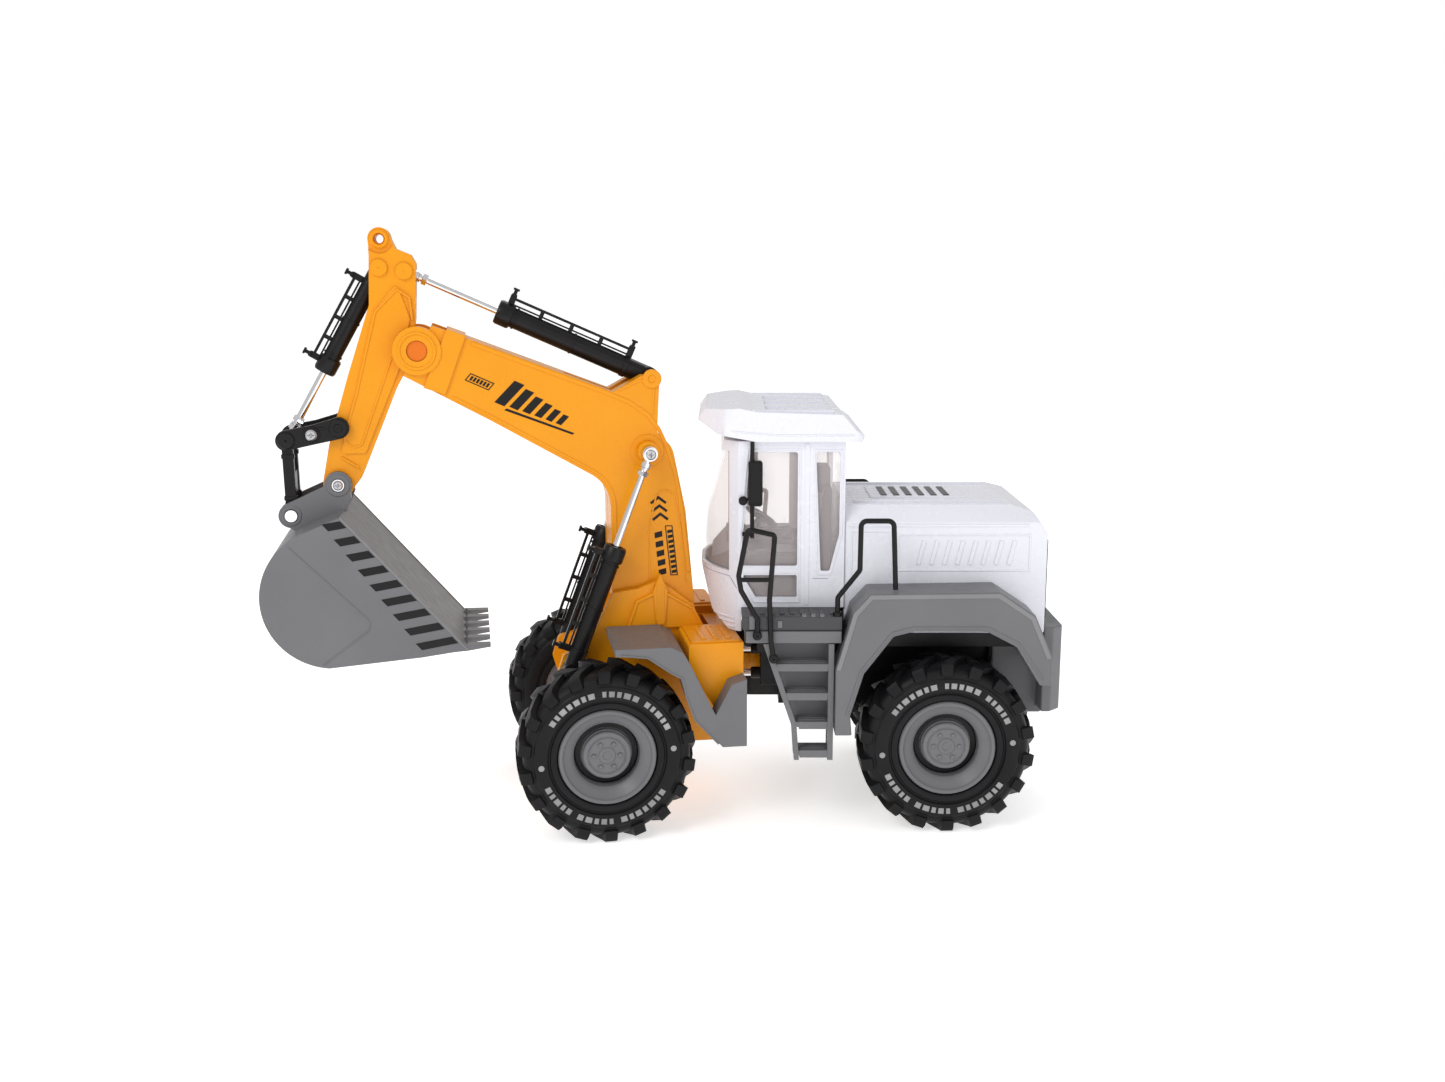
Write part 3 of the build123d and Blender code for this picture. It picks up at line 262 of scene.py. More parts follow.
def sections(grid, rings):
    """A closed tube through rings that have the same number of points."""
    made = [[grid.verts.new(point) for point in ring] for ring in rings]
    count = len(rings[0])
    for here, there in zip(made, made[1:]):
        for index in range(count):
            after = (index + 1) % count
            grid.faces.new((here[index], here[after], there[after], there[index]))
    grid.faces.new(made[0])
    grid.faces.new(list(reversed(made[-1])))


def round_bar(grid, points, radius, sides=12):
    """A round bar through points, its rings square to the path."""
    path = [Vector(point) for point in points]
    rings = []
    for index, point in enumerate(path):
        before = path[max(index - 1, 0)]
        after = path[min(index + 1, len(path) - 1)]
        ahead = (after - before).normalized()
        side = ahead.cross(Vector((0.13, 0.97, 0.2))).normalized()
        up = side.cross(ahead)
        ring = [point + (side * math.cos(a) + up * math.sin(a)) * radius
                for a in (2 * math.pi * k / sides for k in range(sides))]
        rings.append(ring)
    sections(grid, rings)


def mirrored(place, side):
    """The same place for the right (+1) or left (-1) side."""
    return place @ Matrix.Scale(-1, 4, (0, 1, 0)) if side < 0 else place


# ---------------------------------------------------------------- wheels
tyre_low, tyre_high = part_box("rear_right_tyre")
TYRE_R = (tyre_high.z - tyre_low.z) / 2 / MM
TYRE_WIDTH = (tyre_high.y - tyre_low.y) / MM
WHEEL_Y = (tyre_high.y + tyre_low.y) / 2 / MM - PIVOT.y / MM
LUG_COUNT = 18
MARK_R = 33.0           # the ring that the marks on the tyre wall follow
MARK_EDGES = (31.7, 34.6)
MARK_PROUD = 0.25


def tyre_mesh(grid):
    """Ribbed carcass with two rows of slanted lugs that wrap over the shoulder."""
    half = TYRE_WIDTH / 2 - 0.05
    crown = TYRE_R - 3.0
    wall = [(24.75, half - 2.0), (25.4, half - 1.0), (27.2, half - 0.55), (28.2, half - 0.75),
            (28.7, half - 1.5), (29.4, half - 1.5), (29.9, half - 0.45), (30.6, half - 0.2),
            (35.8, half - 0.2), (36.5, half - 0.5), (37.0, half - 1.1), (38.2, half - 1.2),
            (39.6, half - 1.8), (41.0, half - 3.2), (crown, half - 5.0)]
    lathe(grid, wall + [(r, -y) for r, y in reversed(wall)], 120)
    # along a lug: y and radius of its top, y and radius of its foot, its lag round the tyre, half its width
    lug = [(-1.2, TYRE_R, -1.2, crown - 1.2, 0.0, 2.5),
           (4.5, TYRE_R, 4.5, crown - 1.2, 0.085, 2.6),
           (9.6, TYRE_R - 0.1, 9.6, crown - 1.4, 0.165, 2.8),
           (half - 1.4, TYRE_R - 0.6, half - 2.6, crown - 1.6, 0.2, 3.0),
           (half - 0.1, TYRE_R - 2.6, half - 2.4, crown - 3.4, 0.205, 3.0),
           (half, TYRE_R - 6.4, half - 1.6, TYRE_R - 7.0, 0.205, 2.6)]
    for side in (1, -1):
        for index in range(LUG_COUNT):
            start = 2 * math.pi * (index + (0 if side > 0 else 0.5)) / LUG_COUNT
            rings = []
            for y_top, r_top, y_base, r_base, lag, width in lug:
                angle = start + lag
                corners = ((r_base, y_base, -(width + 0.7)), (r_top, y_top, -width),
                           (r_top, y_top, width), (r_base, y_base, width + 0.7))
                rings.append([(r * math.cos(angle + w / r), side * y, r * math.sin(angle + w / r))
                              for r, y, w in corners])
            sections(grid, rings)


def disc_outline(centre, radius, corners, start=0.0):
    """Evenly spaced points round a centre."""
    angles = [2 * math.pi * k / corners + start for k in range(corners)]
    return [(centre[0] + radius * math.cos(a), centre[1] + radius * math.sin(a)) for a in angles]


def tyre_marks(grid):
    """Two arcs of plain raised dashes and two dots on the outer wall. They say nothing."""
    y = TYRE_WIDTH / 2 - 0.3
    top = y + MARK_PROUD
    inner, outer = MARK_EDGES
    widths = (3, 2, 3.4, 2, 2.6, 0, 3, 3.4, 2.2, 2.8, 2, 0, 3.2, 2.2, 3, 2.4, 3.4, 2, 2.8)      # 0 is a space
    steps = 3
    for start in (0.0, math.pi):
        angle = start + 0.42
        for width in widths:
            if width:
                rings = []
                for step in range(steps + 1):
                    a = angle + (width * step / steps) / MARK_R
                    rings.append([(r * math.cos(a), level, r * math.sin(a))
                                  for r, level in ((inner, y), (inner, top), (outer, top), (outer, y))])
                sections(grid, rings)
            angle += (width + 1.25 if width else 2.6) / MARK_R
        centre = (33.1 * math.cos(start + 0.1), 33.1 * math.sin(start + 0.1))
        prism(grid, disc_outline(centre, 1.5, 20), y, top)


def rim_mesh(grid):
    """The dished rim, from its outer lip down to the seat of the hub."""
    profile = [(24.5, -12.6), (24.5, 13.2), (24.0, 14.2), (23.2, 14.5), (22.4, 14.2), (21.9, 13.3),
               (21.2, 12.7), (19.0, 11.3), (17.3, 9.9), (16.7, 9.0), (16.2, 5.0), (15.4, 4.2),
               (13.6, 4.2), (12.9, 4.8), (12.6, 7.2), (12.0, 7.5), (3.1, 7.5), (3.1, -7.8),
               (12.0, -7.8), (14.0, -8.4), (20.0, -12.6)]
    lathe(grid, profile, 96)


def groove_mesh(grid):
    """The dark ring between the rim and its hub."""
    lathe(grid, [(12.3, 4.9), (13.4, 4.5), (15.6, 4.5), (16.1, 5.4), (16.1, 4.3), (12.3, 4.3)], 72)


def hub_mesh(grid):
    """Hub cap: stepped disc with a ring groove, a centre boss and six bolt heads."""
    profile = [(0.01, 7.65), (12.1, 7.65), (12.1, 9.6), (11.6, 10.2), (9.9, 10.35), (9.6, 9.9), (9.1, 9.9),
               (8.8, 10.3), (4.4, 10.4), (4.0, 10.9), (2.4, 11.1), (1.9, 10.7), (0.01, 10.6)]
    lathe(grid, profile, 72)
    for index in range(6):
        angle = math.pi * index / 3
        centre = (6.6 * math.cos(angle), 6.6 * math.sin(angle))
        prism(grid, disc_outline(centre, 1.15, 6, start=angle), 10.0, 11.0)


def wheels():
    """Four detailed wheels in the place of the plain ones."""
    marks = plastic("tyre_mark_paint", (0.36, 0.36, 0.36), (0.22, 0.22, 0.22), 0.5, grain=0.3, shine=0.25)
    for end, matrix in (("front", FRONT), ("rear", REAR)):
        axle = matrix.inverted() @ Vector(joints[end + "_wheels_roll"]["pos_m"])
        for hand, side in (("right", 1), ("left", -1)):
            centre = Matrix.Translation(Vector((axle.x, side * WHEEL_Y * MM, axle.z)))
            place = matrix @ mirrored(centre, side)
            body = end + "_wheels"
            tag = f"{end}_{hand}"
            piece_from(tag + "_tyre_tread", body, RUBBER, place, tyre_mesh,
                       stands_for=(tag + "_tyre",))
            piece_from(tag + "_tyre_marks", body, marks, place, tyre_marks)
            piece_from(tag + "_rim_turned", body, GREY, place, rim_mesh, smooth=24,
                       stands_for=(tag + "_rim",))
            piece_from(tag + "_rim_groove", body, BLACK, place, groove_mesh, smooth=24, slot="grey_plastic")
            cap = piece_from(tag + "_hub_cap_turned", body, GREY, place, hub_mesh, smooth=24)
            if hand == "right":
                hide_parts(end + "_hub_caps")


wheels()

# ---------------------------------------------------------------- more mesh tools
def both(name, body, material, place, maker, **options):
    """The same piece on the right and on the left."""
    for hand, side in (("right", 1), ("left", -1)):
        piece_from(f"{name}_{hand}", body, material, mirrored(place, side), maker, **options)


def strip(grid, points, width, y_low, y_high, closed=False):
    """A raised strip of even width along a line given in x and z."""
    path = [Vector(point) for point in points]
    count = len(path)
    rows = []
    for index, here in enumerate(path):
        before = path[index - 1] if closed or index else None
        after = path[(index + 1) % count] if closed or index < count - 1 else None
        ways = [(b - a).normalized() for a, b in ((before, here), (here, after))
                if a is not None and b is not None]
        normals = [Vector((-way.y, way.x)) for way in ways]
        middle = sum(normals, Vector((0, 0))).normalized()
        reach = middle * (width / 2 / max(0.5, middle.dot(normals[0])))
        one, other = here + reach, here - reach
        corners = ((one.x, y_low, one.y), (one.x, y_high, one.y),
                   (other.x, y_high, other.y), (other.x, y_low, other.y))
        rows.append([grid.verts.new(corner) for corner in corners])
    for index in range(count if closed else count - 1):
        here, there = rows[index], rows[(index + 1) % count]
        for corner in range(4):
            after = (corner + 1) % 4
            grid.faces.new((here[corner], here[after], there[after], there[corner]))
    if not closed:
        grid.faces.new(rows[0])
        grid.faces.new(list(reversed(rows[-1])))


def arc(centre, radius, steps, start, sweep):
    """Points along an arc, both ends among them."""
    angles = [start + sweep * k / (steps - 1) for k in range(steps)]
    return [(centre[0] + radius * math.cos(a), centre[1] + radius * math.sin(a)) for a in angles]


def ring(grid, centre, inner, outer, y_low, y_high, edge=0.3):
    """A flat ring round a centre in x and z, with small bevels on its face."""
    edge = min(edge, (y_high - y_low) / 2)
    profile = [(inner, y_low), (inner, y_high - edge), (inner + edge, y_high), (outer - edge, y_high),
               (outer, y_high - edge), (outer, y_low)]
    lathe(grid, profile, 48, turn=Matrix.Translation((centre[0], 0, centre[1])))


def button(grid, centre, radius, y_low, y_high, edge=0.3):
    """A round disc with a small bevel on its face."""
    ring(grid, centre, 0.02, radius, y_low, y_high, edge)


def screw_head(grid, centre, y, radius, height):
    """A domed head with a cross recess that faces +Y."""
    def loop(points, level):
        return [grid.verts.new((centre[0] + x, level, centre[1] + z)) for x, z in points]

    def wall(low, high):
        for index in range(len(low)):
            after = (index + 1) % len(low)
            grid.faces.new((low[index], high[index], high[after], low[after]))

    base = loop(disc_outline((0, 0), radius, 24), y)
    middle = loop(disc_outline((0, 0), radius, 24), y + height * 0.45)
    top = loop(disc_outline((0, 0), radius * 0.74, 24), y + height)
    arm, half = radius * 0.52, radius * 0.13
    cross = [(arm, -half), (arm, half), (half, half), (half, arm), (-half, arm), (-half, half), (-arm, half),
             (-arm, -half), (-half, -half), (-half, -arm), (half, -arm), (half, -half)]
    mouth = loop(cross, y + height)
    floor = loop(cross, y + height * 0.35)
    wall(base, middle)
    wall(middle, top)
    wall(floor, mouth)
    grid.faces.new(base)
    grid.faces.new(floor)
    rims = [grid.edges.get((line[index - 1], line[index]))
            for line in (top, mouth) for index in range(len(line))]
    bmesh.ops.bridge_loops(grid, edges=rims)


def block(grid, x, y, z, turn=None):
    """A box between pairs of values."""
    corners = [grid.verts.new((a, b, c)) for a in x for b in y for c in z]
    for face in ((0, 1, 3, 2), (4, 6, 7, 5), (0, 4, 5, 1), (2, 3, 7, 6), (0, 2, 6, 4), (1, 5, 7, 3)):
        grid.faces.new([corners[index] for index in face])
    if turn:
        for corner in corners:
            corner.co = turn @ corner.co


# ---------------------------------------------------------------- moulded edges of the CAD pieces
def round_edges(name, width):
    """Merges the seams, clears flat triangles and rounds what is sharp. Points of the CAD mesh stay."""
    node = nodes[name]
    weld = node.modifiers.new("seams", "WELD")
    weld.merge_threshold = 0.00001
    flat = node.modifiers.new("flats", "DECIMATE")
    flat.decimate_type = "DISSOLVE"
    flat.angle_limit = math.radians(0.4)
    rounding = node.modifiers.new("edges", "BEVEL")
    rounding.width = width * MM
    rounding.segments = 2
    rounding.limit_method = "ANGLE"
    rounding.angle_limit = math.radians(35)
    rounding.harden_normals = True


EDGE_WIDTHS = {"hood": 0.9, "cab_roof": 0.9, "deck": 0.4, "counterweight": 1.0, "driver_seat": 1.2}
for side_name in ("left", "right"):
    EDGE_WIDTHS[f"boom_{side_name}_half"] = 0.7
    EDGE_WIDTHS[f"stick_{side_name}_half"] = 0.45
    EDGE_WIDTHS[f"front_frame_{side_name}"] = 0.6
    EDGE_WIDTHS[f"front_fender_{side_name}"] = 0.6
    EDGE_WIDTHS[f"rear_fender_{side_name}"] = 0.7
    EDGE_WIDTHS[f"ladder_{side_name}"] = 0.3
for node_name, edge_width in EDGE_WIDTHS.items():
    round_edges(node_name, edge_width)

# ---------------------------------------------------------------- sizes of the arm, from the frame
def across(name):
    """Half of a node's width across the front half, from its middle plane, in millimetres."""
    reach = [abs((TO_FRONT @ (nodes[name].matrix_world @ vert.co)).y) for vert in nodes[name].data.vertices]
    return max(reach) / MM


def spot(joint):
    """A pivot's x and z in the front half, in millimetres."""
    place = pivot(joint)
    return (place.x / MM, place.z / MM)


STICK_PIVOT = spot("stick_swing")
BUCKET_PIVOT = spot("bucket_curl")
ROCKER_PIVOT = spot("rocker_pivot")
ROCKER_END = spot("link_pivot")
LIFT_EYE = spot("lift_rod_pivot")
LIFT_BASE = spot("lift_barrel_pivot")
HORN_PIN = spot("stick_barrel_pivot")
STICK_ROD_PIN = spot("stick_rod_pivot")
BARREL_PIN = spot("bucket_barrel_pivot")
BUCKET_HALF = across("bucket")
BOOM_FACE = 16.5
STICK_FACE = across("stick_right_half")
ROCKER_FACE = across("rocker_right_plate")
EAR_FACE = STICK_FACE + 3.9
LIFT_Y = 27.0
LINK_PIN = (-238.7, 161.8)
ROCKER_MIDDLE = (-226.9, 202.3)
TOP_EYE = (-190.0, 298.2)


# ---------------------------------------------------------------- boom
def boom_borders(grid):
    """The raised border that follows the boom's edges, with its bend under the elbow."""
    top = [(-147.0, 247.1), (-80.2, 221.5), (-68.5, 216.6), (-58.6, 209.8), (-52.9, 202.6), (-48.4, 192.8),
           (-44.2, 179.0), (-40.9, 159.2), (-37.3, 126.0)]
    strip(grid, top, 2.0, BOOM_FACE - 0.5, BOOM_FACE + 0.55)
    bend = arc((-98.0, 161.9), 22.2, 9, math.radians(60), -math.radians(60))
    low = [(-157.0, 220.3), (-136.9, 209.6)] + bend + [(-75.8, 126.0)]
    strip(grid, low, 1.4, BOOM_FACE - 0.5, BOOM_FACE + 0.45)
    horn = [(-73.6, 222.2), (-62.4, 227.3), (-54.8, 226.6), (-56.0, 209.5)]
    strip(grid, horn, 1.3, BOOM_FACE - 0.5, BOOM_FACE + 0.4)


def boom_panel(grid):
    """The long raised panel with a round top on the boom's lower part."""
    crown = arc((-49.6, 165.0), 5.2, 9, math.pi, -math.pi)
    sides = [(-58.3, 121.0), (-58.3, 150.0), (-54.8, 165.0)] + crown[1:] + [(-41.6, 150.0), (-39.0, 121.0)]
    strip(grid, sides, 0.9, BOOM_FACE - 0.5, BOOM_FACE + 0.35)


def boom_bosses(grid):
    ring(grid, HORN_PIN, 1.9, 4.9, BOOM_FACE - 0.4, BOOM_FACE + 0.9)
    ring(grid, STICK_PIVOT, 8.0, 9.6, BOOM_FACE + 1.5, BOOM_FACE + 2.3)
    ring(grid, LIFT_EYE, 5.4, 8.6, BOOM_FACE - 0.4, BOOM_FACE + 1.0)


def along_boom(u, v):
    """A point on the boom's side, u along its upper arm and v across it."""
    angle = math.radians(-24.5)
    return (-149.5 + u * math.cos(angle) - v * math.sin(angle),
            230.5 + u * math.sin(angle) + v * math.cos(angle))


def boom_graphics(grid):
    """Printed black shapes that say nothing: a barred box, slanted blocks and an underline."""
    low, high = BOOM_FACE - PRINT_FOOT, BOOM_FACE + PRINT_PROUD

    def shape(points):
        prism(grid, [along_boom(u, v) for u, v in points], low, high)

    frame_line = [along_boom(u, v) for u, v in ((0, -1.9), (12.4, -1.9), (13.6, 2.1), (1.2, 2.1))]
    strip(grid, frame_line, 0.5, low, high, closed=True)
    for index in range(6):
        u = 1.6 + index * 1.75
        shape([(u, -1.1), (u + 1.15, -1.1), (u + 1.7, 1.3), (u + 0.55, 1.3)])
    for u, wide, v_low, v_high in ((17.5, 5.4, -6.4, 7.6), (25.2, 4.6, -5.6, 6.0), (32.0, 4.2, -5.0, 4.6),
                                   (38.4, 3.8, -4.6, 3.6), (44.4, 3.4, -4.2, 2.6), (49.9, 3.0, -3.9, 1.8)):
        lean = (v_high - v_low) * 0.36
        shape([(u, v_low), (u + wide, v_low), (u + wide + lean, v_high), (u + lean, v_high)])
    shape([(23.6, -8.2), (60.2, -6.0), (60.8, -4.9), (24.4, -6.9)])


def lower_graphics(grid):
    """Upright printed shapes on the boom's lower part: three arrowheads and a barred column."""
    low, high = BOOM_FACE - PRINT_FOOT, BOOM_FACE + PRINT_PROUD
    for index in range(3):
        z = 163.2 - index * 4.4
        x = index * 0.5
        strip(grid, [(x - 57.2, z), (x - 53.2, z + 3.1), (x - 49.2, z)], 1.35, low, high)
    for index in range(5):
        z = 147.5 - index * 5.0
        x = -55.4 + index * 0.5
        prism(grid, [(x, z), (x + 4.0, z + 1.0), (x + 4.2, z - 2.0), (x + 0.2, z - 3.0)], low, high)
    strip(grid, [(-49.6, 151.0), (-46.9, 124.6), (-43.4, 124.6), (-46.1, 151.0)], 0.5, low, high, closed=True)
    for index in range(9):
        z = 148.6 - index * 2.7
        x = -48.7 + index * 0.275
        prism(grid, [(x, z), (x + 2.5, z + 0.5), (x + 2.6, z - 1.1), (x + 0.1, z - 1.6)], low, high)


PRINT = plastic("black_print", (0.006, 0.005, 0.005), (0.010, 0.009, 0.009), 0.45, grain=0.05, edge=0.0,
                shine=0.25)
both("boom_border", "boom", YELLOW, FRONT, boom_borders, bevel=0.3)
both("boom_low_panel", "boom", YELLOW, FRONT, boom_panel, bevel=0.2)
both("boom_bosses", "boom", YELLOW, FRONT, boom_bosses)
both("boom_print", "boom", PRINT, FRONT, boom_graphics)
both("boom_low_print", "boom", PRINT, FRONT, lower_graphics)


def eye_screw(grid):
    screw_head(grid, LIFT_EYE, LIFT_Y + 4.5, 2.7, 1.2)


both("lift_eye_screw", "boom", STEEL, FRONT, eye_screw)


# ---------------------------------------------------------------- stick
def stick_borders(grid):
    """The ridge round the stick's panel, pointed at its top and round at its bottom."""
    low, high = STICK_FACE - FOOT, STICK_FACE + 0.45
    foot = arc((-206.2, 200.2), 4.8, 9, math.radians(-200), math.radians(160))
    border = [(-182.3, 273.6), (-193.2, 262.8), (-204.2, 222.0)] + foot + [(-186.4, 240.0)]
    strip(grid, border, 1.1, low, high)
    strip(grid, [(-182.3, 273.6), (-176.4, 269.6), (-175.4, 258.5)], 1.1, low, high)
    strip(grid, [(-213.2, 190.4), (-204.6, 184.8)], 1.0, low, high)


def stick_bosses(grid):
    for centre in (BARREL_PIN, STICK_ROD_PIN):
        ring(grid, centre, 0.02, 4.3, STICK_FACE - FOOT, STICK_FACE + 0.5, edge=0.4)
    ring(grid, TOP_EYE, 2.7, 4.6, 7.6, 9.2, edge=0.5)


# Painted shade: an orange tube inside the stick's top eye, the yellow drawn darker where the bore is in shade.
def eye_bore_shade(grid):
    ring(grid, TOP_EYE, 2.15, 2.62, -7.9, 7.9, edge=0.1)


both("stick_border", "stick", YELLOW, FRONT, stick_borders, bevel=0.25)
both("stick_bosses", "stick", YELLOW, FRONT, stick_bosses)
piece_from("stick_eye_bore_shade", "stick", ORANGE, FRONT, eye_bore_shade)


# ---------------------------------------------------------------- bucket, rocker and link
BUCKET_LIP = (-153.5, 95.0)
BUCKET_TOP = (-213.0, 164.6)


def bucket_stripes(grid):
    """Nine slanted black blocks on the side, from the cutting edge inwards, longer towards the tip."""
    edge = Vector(BUCKET_LIP) - Vector(BUCKET_TOP)
    way = edge.normalized()
    lean = Vector((-math.cos(math.radians(9)), -math.sin(math.radians(9))))
    count = 9
    pitch = edge.length / (count + 0.2)
    for index in range(count):
        start = Vector(BUCKET_TOP) + way * (pitch * (index + 0.2)) + lean * 1.2
        side = lean * (8.8 + 9.4 * index / (count - 1))
        tall = way * (pitch * 0.46)
        corners = [start, start + side, start + side + tall, start + tall]
        prism(grid, [(c.x, c.y) for c in corners], BUCKET_HALF - PRINT_FOOT,
              BUCKET_HALF + PRINT_PROUD)


def bucket_rim(grid):
    """The pale raised rim along the side's cutting edge."""
    strip(grid, [BUCKET_TOP, BUCKET_LIP], 0.8, BUCKET_HALF - FOOT, BUCKET_HALF + 0.3)


def bucket_groove(grid):
    """The moulded line that divides the bucket's side."""
    bend = arc((-205.4, 110.0), 4.6, 7, math.radians(52), -math.radians(98))
    strip(grid, [(-238.0, 150.6)] + bend + [(-224.5, 90.4)], 0.7, BUCKET_HALF - FOOT, BUCKET_HALF + 0.28)


def bucket_shade_skin(grid):
    """Painted shade: a near-black closed skin a little off the bucket's inside walls, standing for the shade in
    its hollow.

    The CAD bucket is closed across its mouth, so this and the floor ribs are hidden.
    """
    half = BUCKET_HALF - 2.6
    back = [(-211.6, 160.6), (-232.0, 152.8)]
    round_back = [(-248.9, 134.8), (-249.7, 120.0), (-243.4, 104.4), (-232.6, 94.8), (-221.0, 91.9)]
    floor = [(-176.5, 95.3), (-158.6, 97.4)]
    line = back + round_back + floor
    middle = Vector((-205.0, 125.0))
    for low, high in ((-half, -half + 0.3), (half - 0.3, half)):
        prism(grid, line, low, high)
    outer, inner = [], []
    for x, z in line:
        outer.append((x, z))
        step = (middle - Vector((x, z))).normalized() * 0.4
        inner.append((x + step.x, z + step.y))
    prism(grid, outer + inner[::-1], -half, half)


def bucket_ribs(grid):
    """Six low ribs that run back along the bucket's floor, behind the teeth."""
    for index in range(6):
        y = -30.0 + 12.0 * index
        block(grid, (-196.0, -160.0), (y - 1.3, y + 1.3), (94.0, 98.2))


def rocker_trim(grid):
    """Bosses of the rocker plate and a rib between them."""
    face = ROCKER_FACE
    ring(grid, ROCKER_PIVOT, 1.9, 4.6, face - FOOT, face + 0.8, edge=0.4)
    ring(grid, ROCKER_END, 0.02, 4.4, face - FOOT, face + 1.0, edge=0.6)
    strip(grid, [(-219.8, 205.6), (-223.4, 205.3)], 1.0, face - FOOT, face + 0.5)
    ring(grid, ROCKER_MIDDLE, 3.1, 4.3, face - FOOT, face + 0.7, edge=0.3)


def rocker_caps(grid):
    """Plain black ends of the rocker's pivot."""
    button(grid, ROCKER_PIVOT, 2.3, ROCKER_FACE - FOOT, ROCKER_FACE + 0.4)


def link_pin_caps(grid):
    """Dark ends of the pin that joins the link to the bucket's ears."""
    button(grid, LINK_PIN, 3.4, EAR_FACE - 0.6, EAR_FACE + 0.25)


def pivot_caps(grid):
    """The ears' outer discs, under the screws."""
    button(grid, BUCKET_PIVOT, 3.4, EAR_FACE - 0.6, EAR_FACE + 0.3)


def horn_caps(grid):
    """Moulded ends over the pin that holds the stick's cylinder."""
    button(grid, HORN_PIN, 2.6, BOOM_FACE - 1.0, BOOM_FACE + 0.35)


def rocker_screw(grid):
    screw_head(grid, ROCKER_MIDDLE, ROCKER_FACE + 0.85, 2.8, 1.3)


def ear_screws(grid):
    screw_head(grid, BUCKET_PIVOT, EAR_FACE + 0.5, 2.5, 1.4)


def ear_trim(grid):
    ring(grid, BUCKET_PIVOT, 3.2, 5.9, EAR_FACE - 0.9, EAR_FACE + 0.5, edge=0.4)
    ring(grid, LINK_PIN, 3.2, 5.3, EAR_FACE - 0.9, EAR_FACE + 0.4, edge=0.4)


def link_trim(grid):
    """A raised rib down each bar of the bucket's link."""
    for share in (0.22, 0.78):
        x = ROCKER_END[0] + (LINK_PIN[0] - ROCKER_END[0]) * share
        z = ROCKER_END[1] + (LINK_PIN[1] - ROCKER_END[1]) * share
        block(grid, (x - 3.2, x + 3.2), (STICK_FACE - 2.6, STICK_FACE + 0.3), (z - 1.1, z + 1.1))


# Painted shade: this near-black stands for the shade inside the bucket's hollow.
BUCKET_SHADE = plastic("bucket_shade_paint", (0.010, 0.007, 0.007), (0.018, 0.013, 0.012), 0.6, grain=0.3, edge=0.0,
                 shine=0.25)
both("bucket_stripes", "bucket", PRINT, FRONT, bucket_stripes)
both("bucket_side_ridge", "bucket", GREY, FRONT, bucket_groove, bevel=0.15)
piece_from("bucket_shade_skin", "bucket", BUCKET_SHADE, FRONT, bucket_shade_skin, smooth=50)
piece_from("bucket_floor_ribs", "bucket", GREY, FRONT, bucket_ribs, bevel=0.4)
both("bucket_side_rim", "bucket", LIGHT_GREY, FRONT, bucket_rim, bevel=0.2)
both("bucket_ear_rings", "bucket", GREY, FRONT, ear_trim)
both("bucket_ear_screws", "bucket", STEEL, FRONT, ear_screws)
both("rocker_trim", "rocker", BLACK, FRONT, rocker_trim)
both("rocker_screw", "rocker", STEEL, FRONT, rocker_screw)
both("rocker_pivot_caps", "rocker", BLACK, FRONT, rocker_caps)
both("link_pin_caps", "bucket", BLACK, FRONT, link_pin_caps)
both("bucket_pivot_discs", "bucket", GREY, FRONT, pivot_caps)
both("horn_pin_caps", "boom", YELLOW, FRONT, horn_caps)
both("link_cross_ribs", "bucket_link", BLACK, FRONT, link_trim, bevel=0.3)


# ---------------------------------------------------------------- cylinders
def point(place):
    """A pivot's place on the middle plane of the front half, in metres."""
    return Vector((place[0], 0.0, place[1])) * MM


def cylinder_trim(name, barrel_body, rod_body, start, end, y, length, radius, side):
    """A guard's lower rail and feet, collars on the barrel, and a nut on the rod."""
    place = FRONT @ run_place(start, end, y)
    rail = side * (radius + 4.0)
    first, last = length * 0.16, length - 5

    def guard(grid):
        for x in (first, last):
            block(grid, (x - 1.3, x + 1.3), (-3.0, 3.0), sorted((rail + side * 1.2, rail + side * 2.4)))
            block(grid, (x - 0.9, x + 0.9), (-0.9, 0.9), sorted((rail, rail + side * 4.6)))
            block(grid, (x - 1.6, x + 1.6), (-1.5, 1.5), sorted((rail + side * 4.2, rail + side * 5.4)))
        low = side * (radius + 1.0)
        block(grid, (first, last), (-0.8, 0.8), sorted((low - 0.45, low + 0.45)))
        steps = 4
        for index in range(steps):
            x = first + (last - first) * (index + 0.5) / steps
            block(grid, (x - 0.55, x + 0.55), (-1.9, 1.9), sorted((rail - 0.6, rail + 0.6)))

    def collars(grid):
        turn = Matrix.Rotation(-math.pi / 2, 4, "Z")
        for x, wide, proud in ((first - 1.5, 3.0, 0.5), (length * 0.5, 1.4, 0.35),
                               (length - 10.5, 1.4, 0.45)):
            collar = [(radius - 0.5, x), (radius + proud, x + 0.25), (radius + proud, x + wide - 0.25),
                      (radius - 0.5, x + wide)]
            lathe(grid, collar, 40, turn=turn)
        mouth = [(radius + 0.5, length - 7.9), (radius + 1.25, length - 7.4), (radius + 1.25, length - 1.0),
                 (radius + 0.6, length + 0.15), (radius - 1.1, length + 0.15), (radius - 1.1, length - 0.6)]
        lathe(grid, mouth, 40, turn=turn)

    def nut(grid):
        full = (end - start).length / MM
        turn = Matrix.Rotation(-math.pi / 2, 4, "Z")
        hexagon = [(1.75, full - 12.2), (3.1, full - 11.8), (3.1, full - 9.6), (1.75, full - 9.2)]
        lathe(grid, hexagon, 6, turn=turn)
        washer = [(1.75, full - 8.6), (2.5, full - 8.4), (2.5, full - 7.6), (1.75, full - 7.4)]
        lathe(grid, washer, 32, turn=turn)

    piece_from(name + "_guard", barrel_body, BLACK, place, guard, bevel=0.25)
    piece_from(name + "_collars", barrel_body, BLACK, place, collars)
    piece_from(name + "_nut", rod_body, CHROME, place, nut)


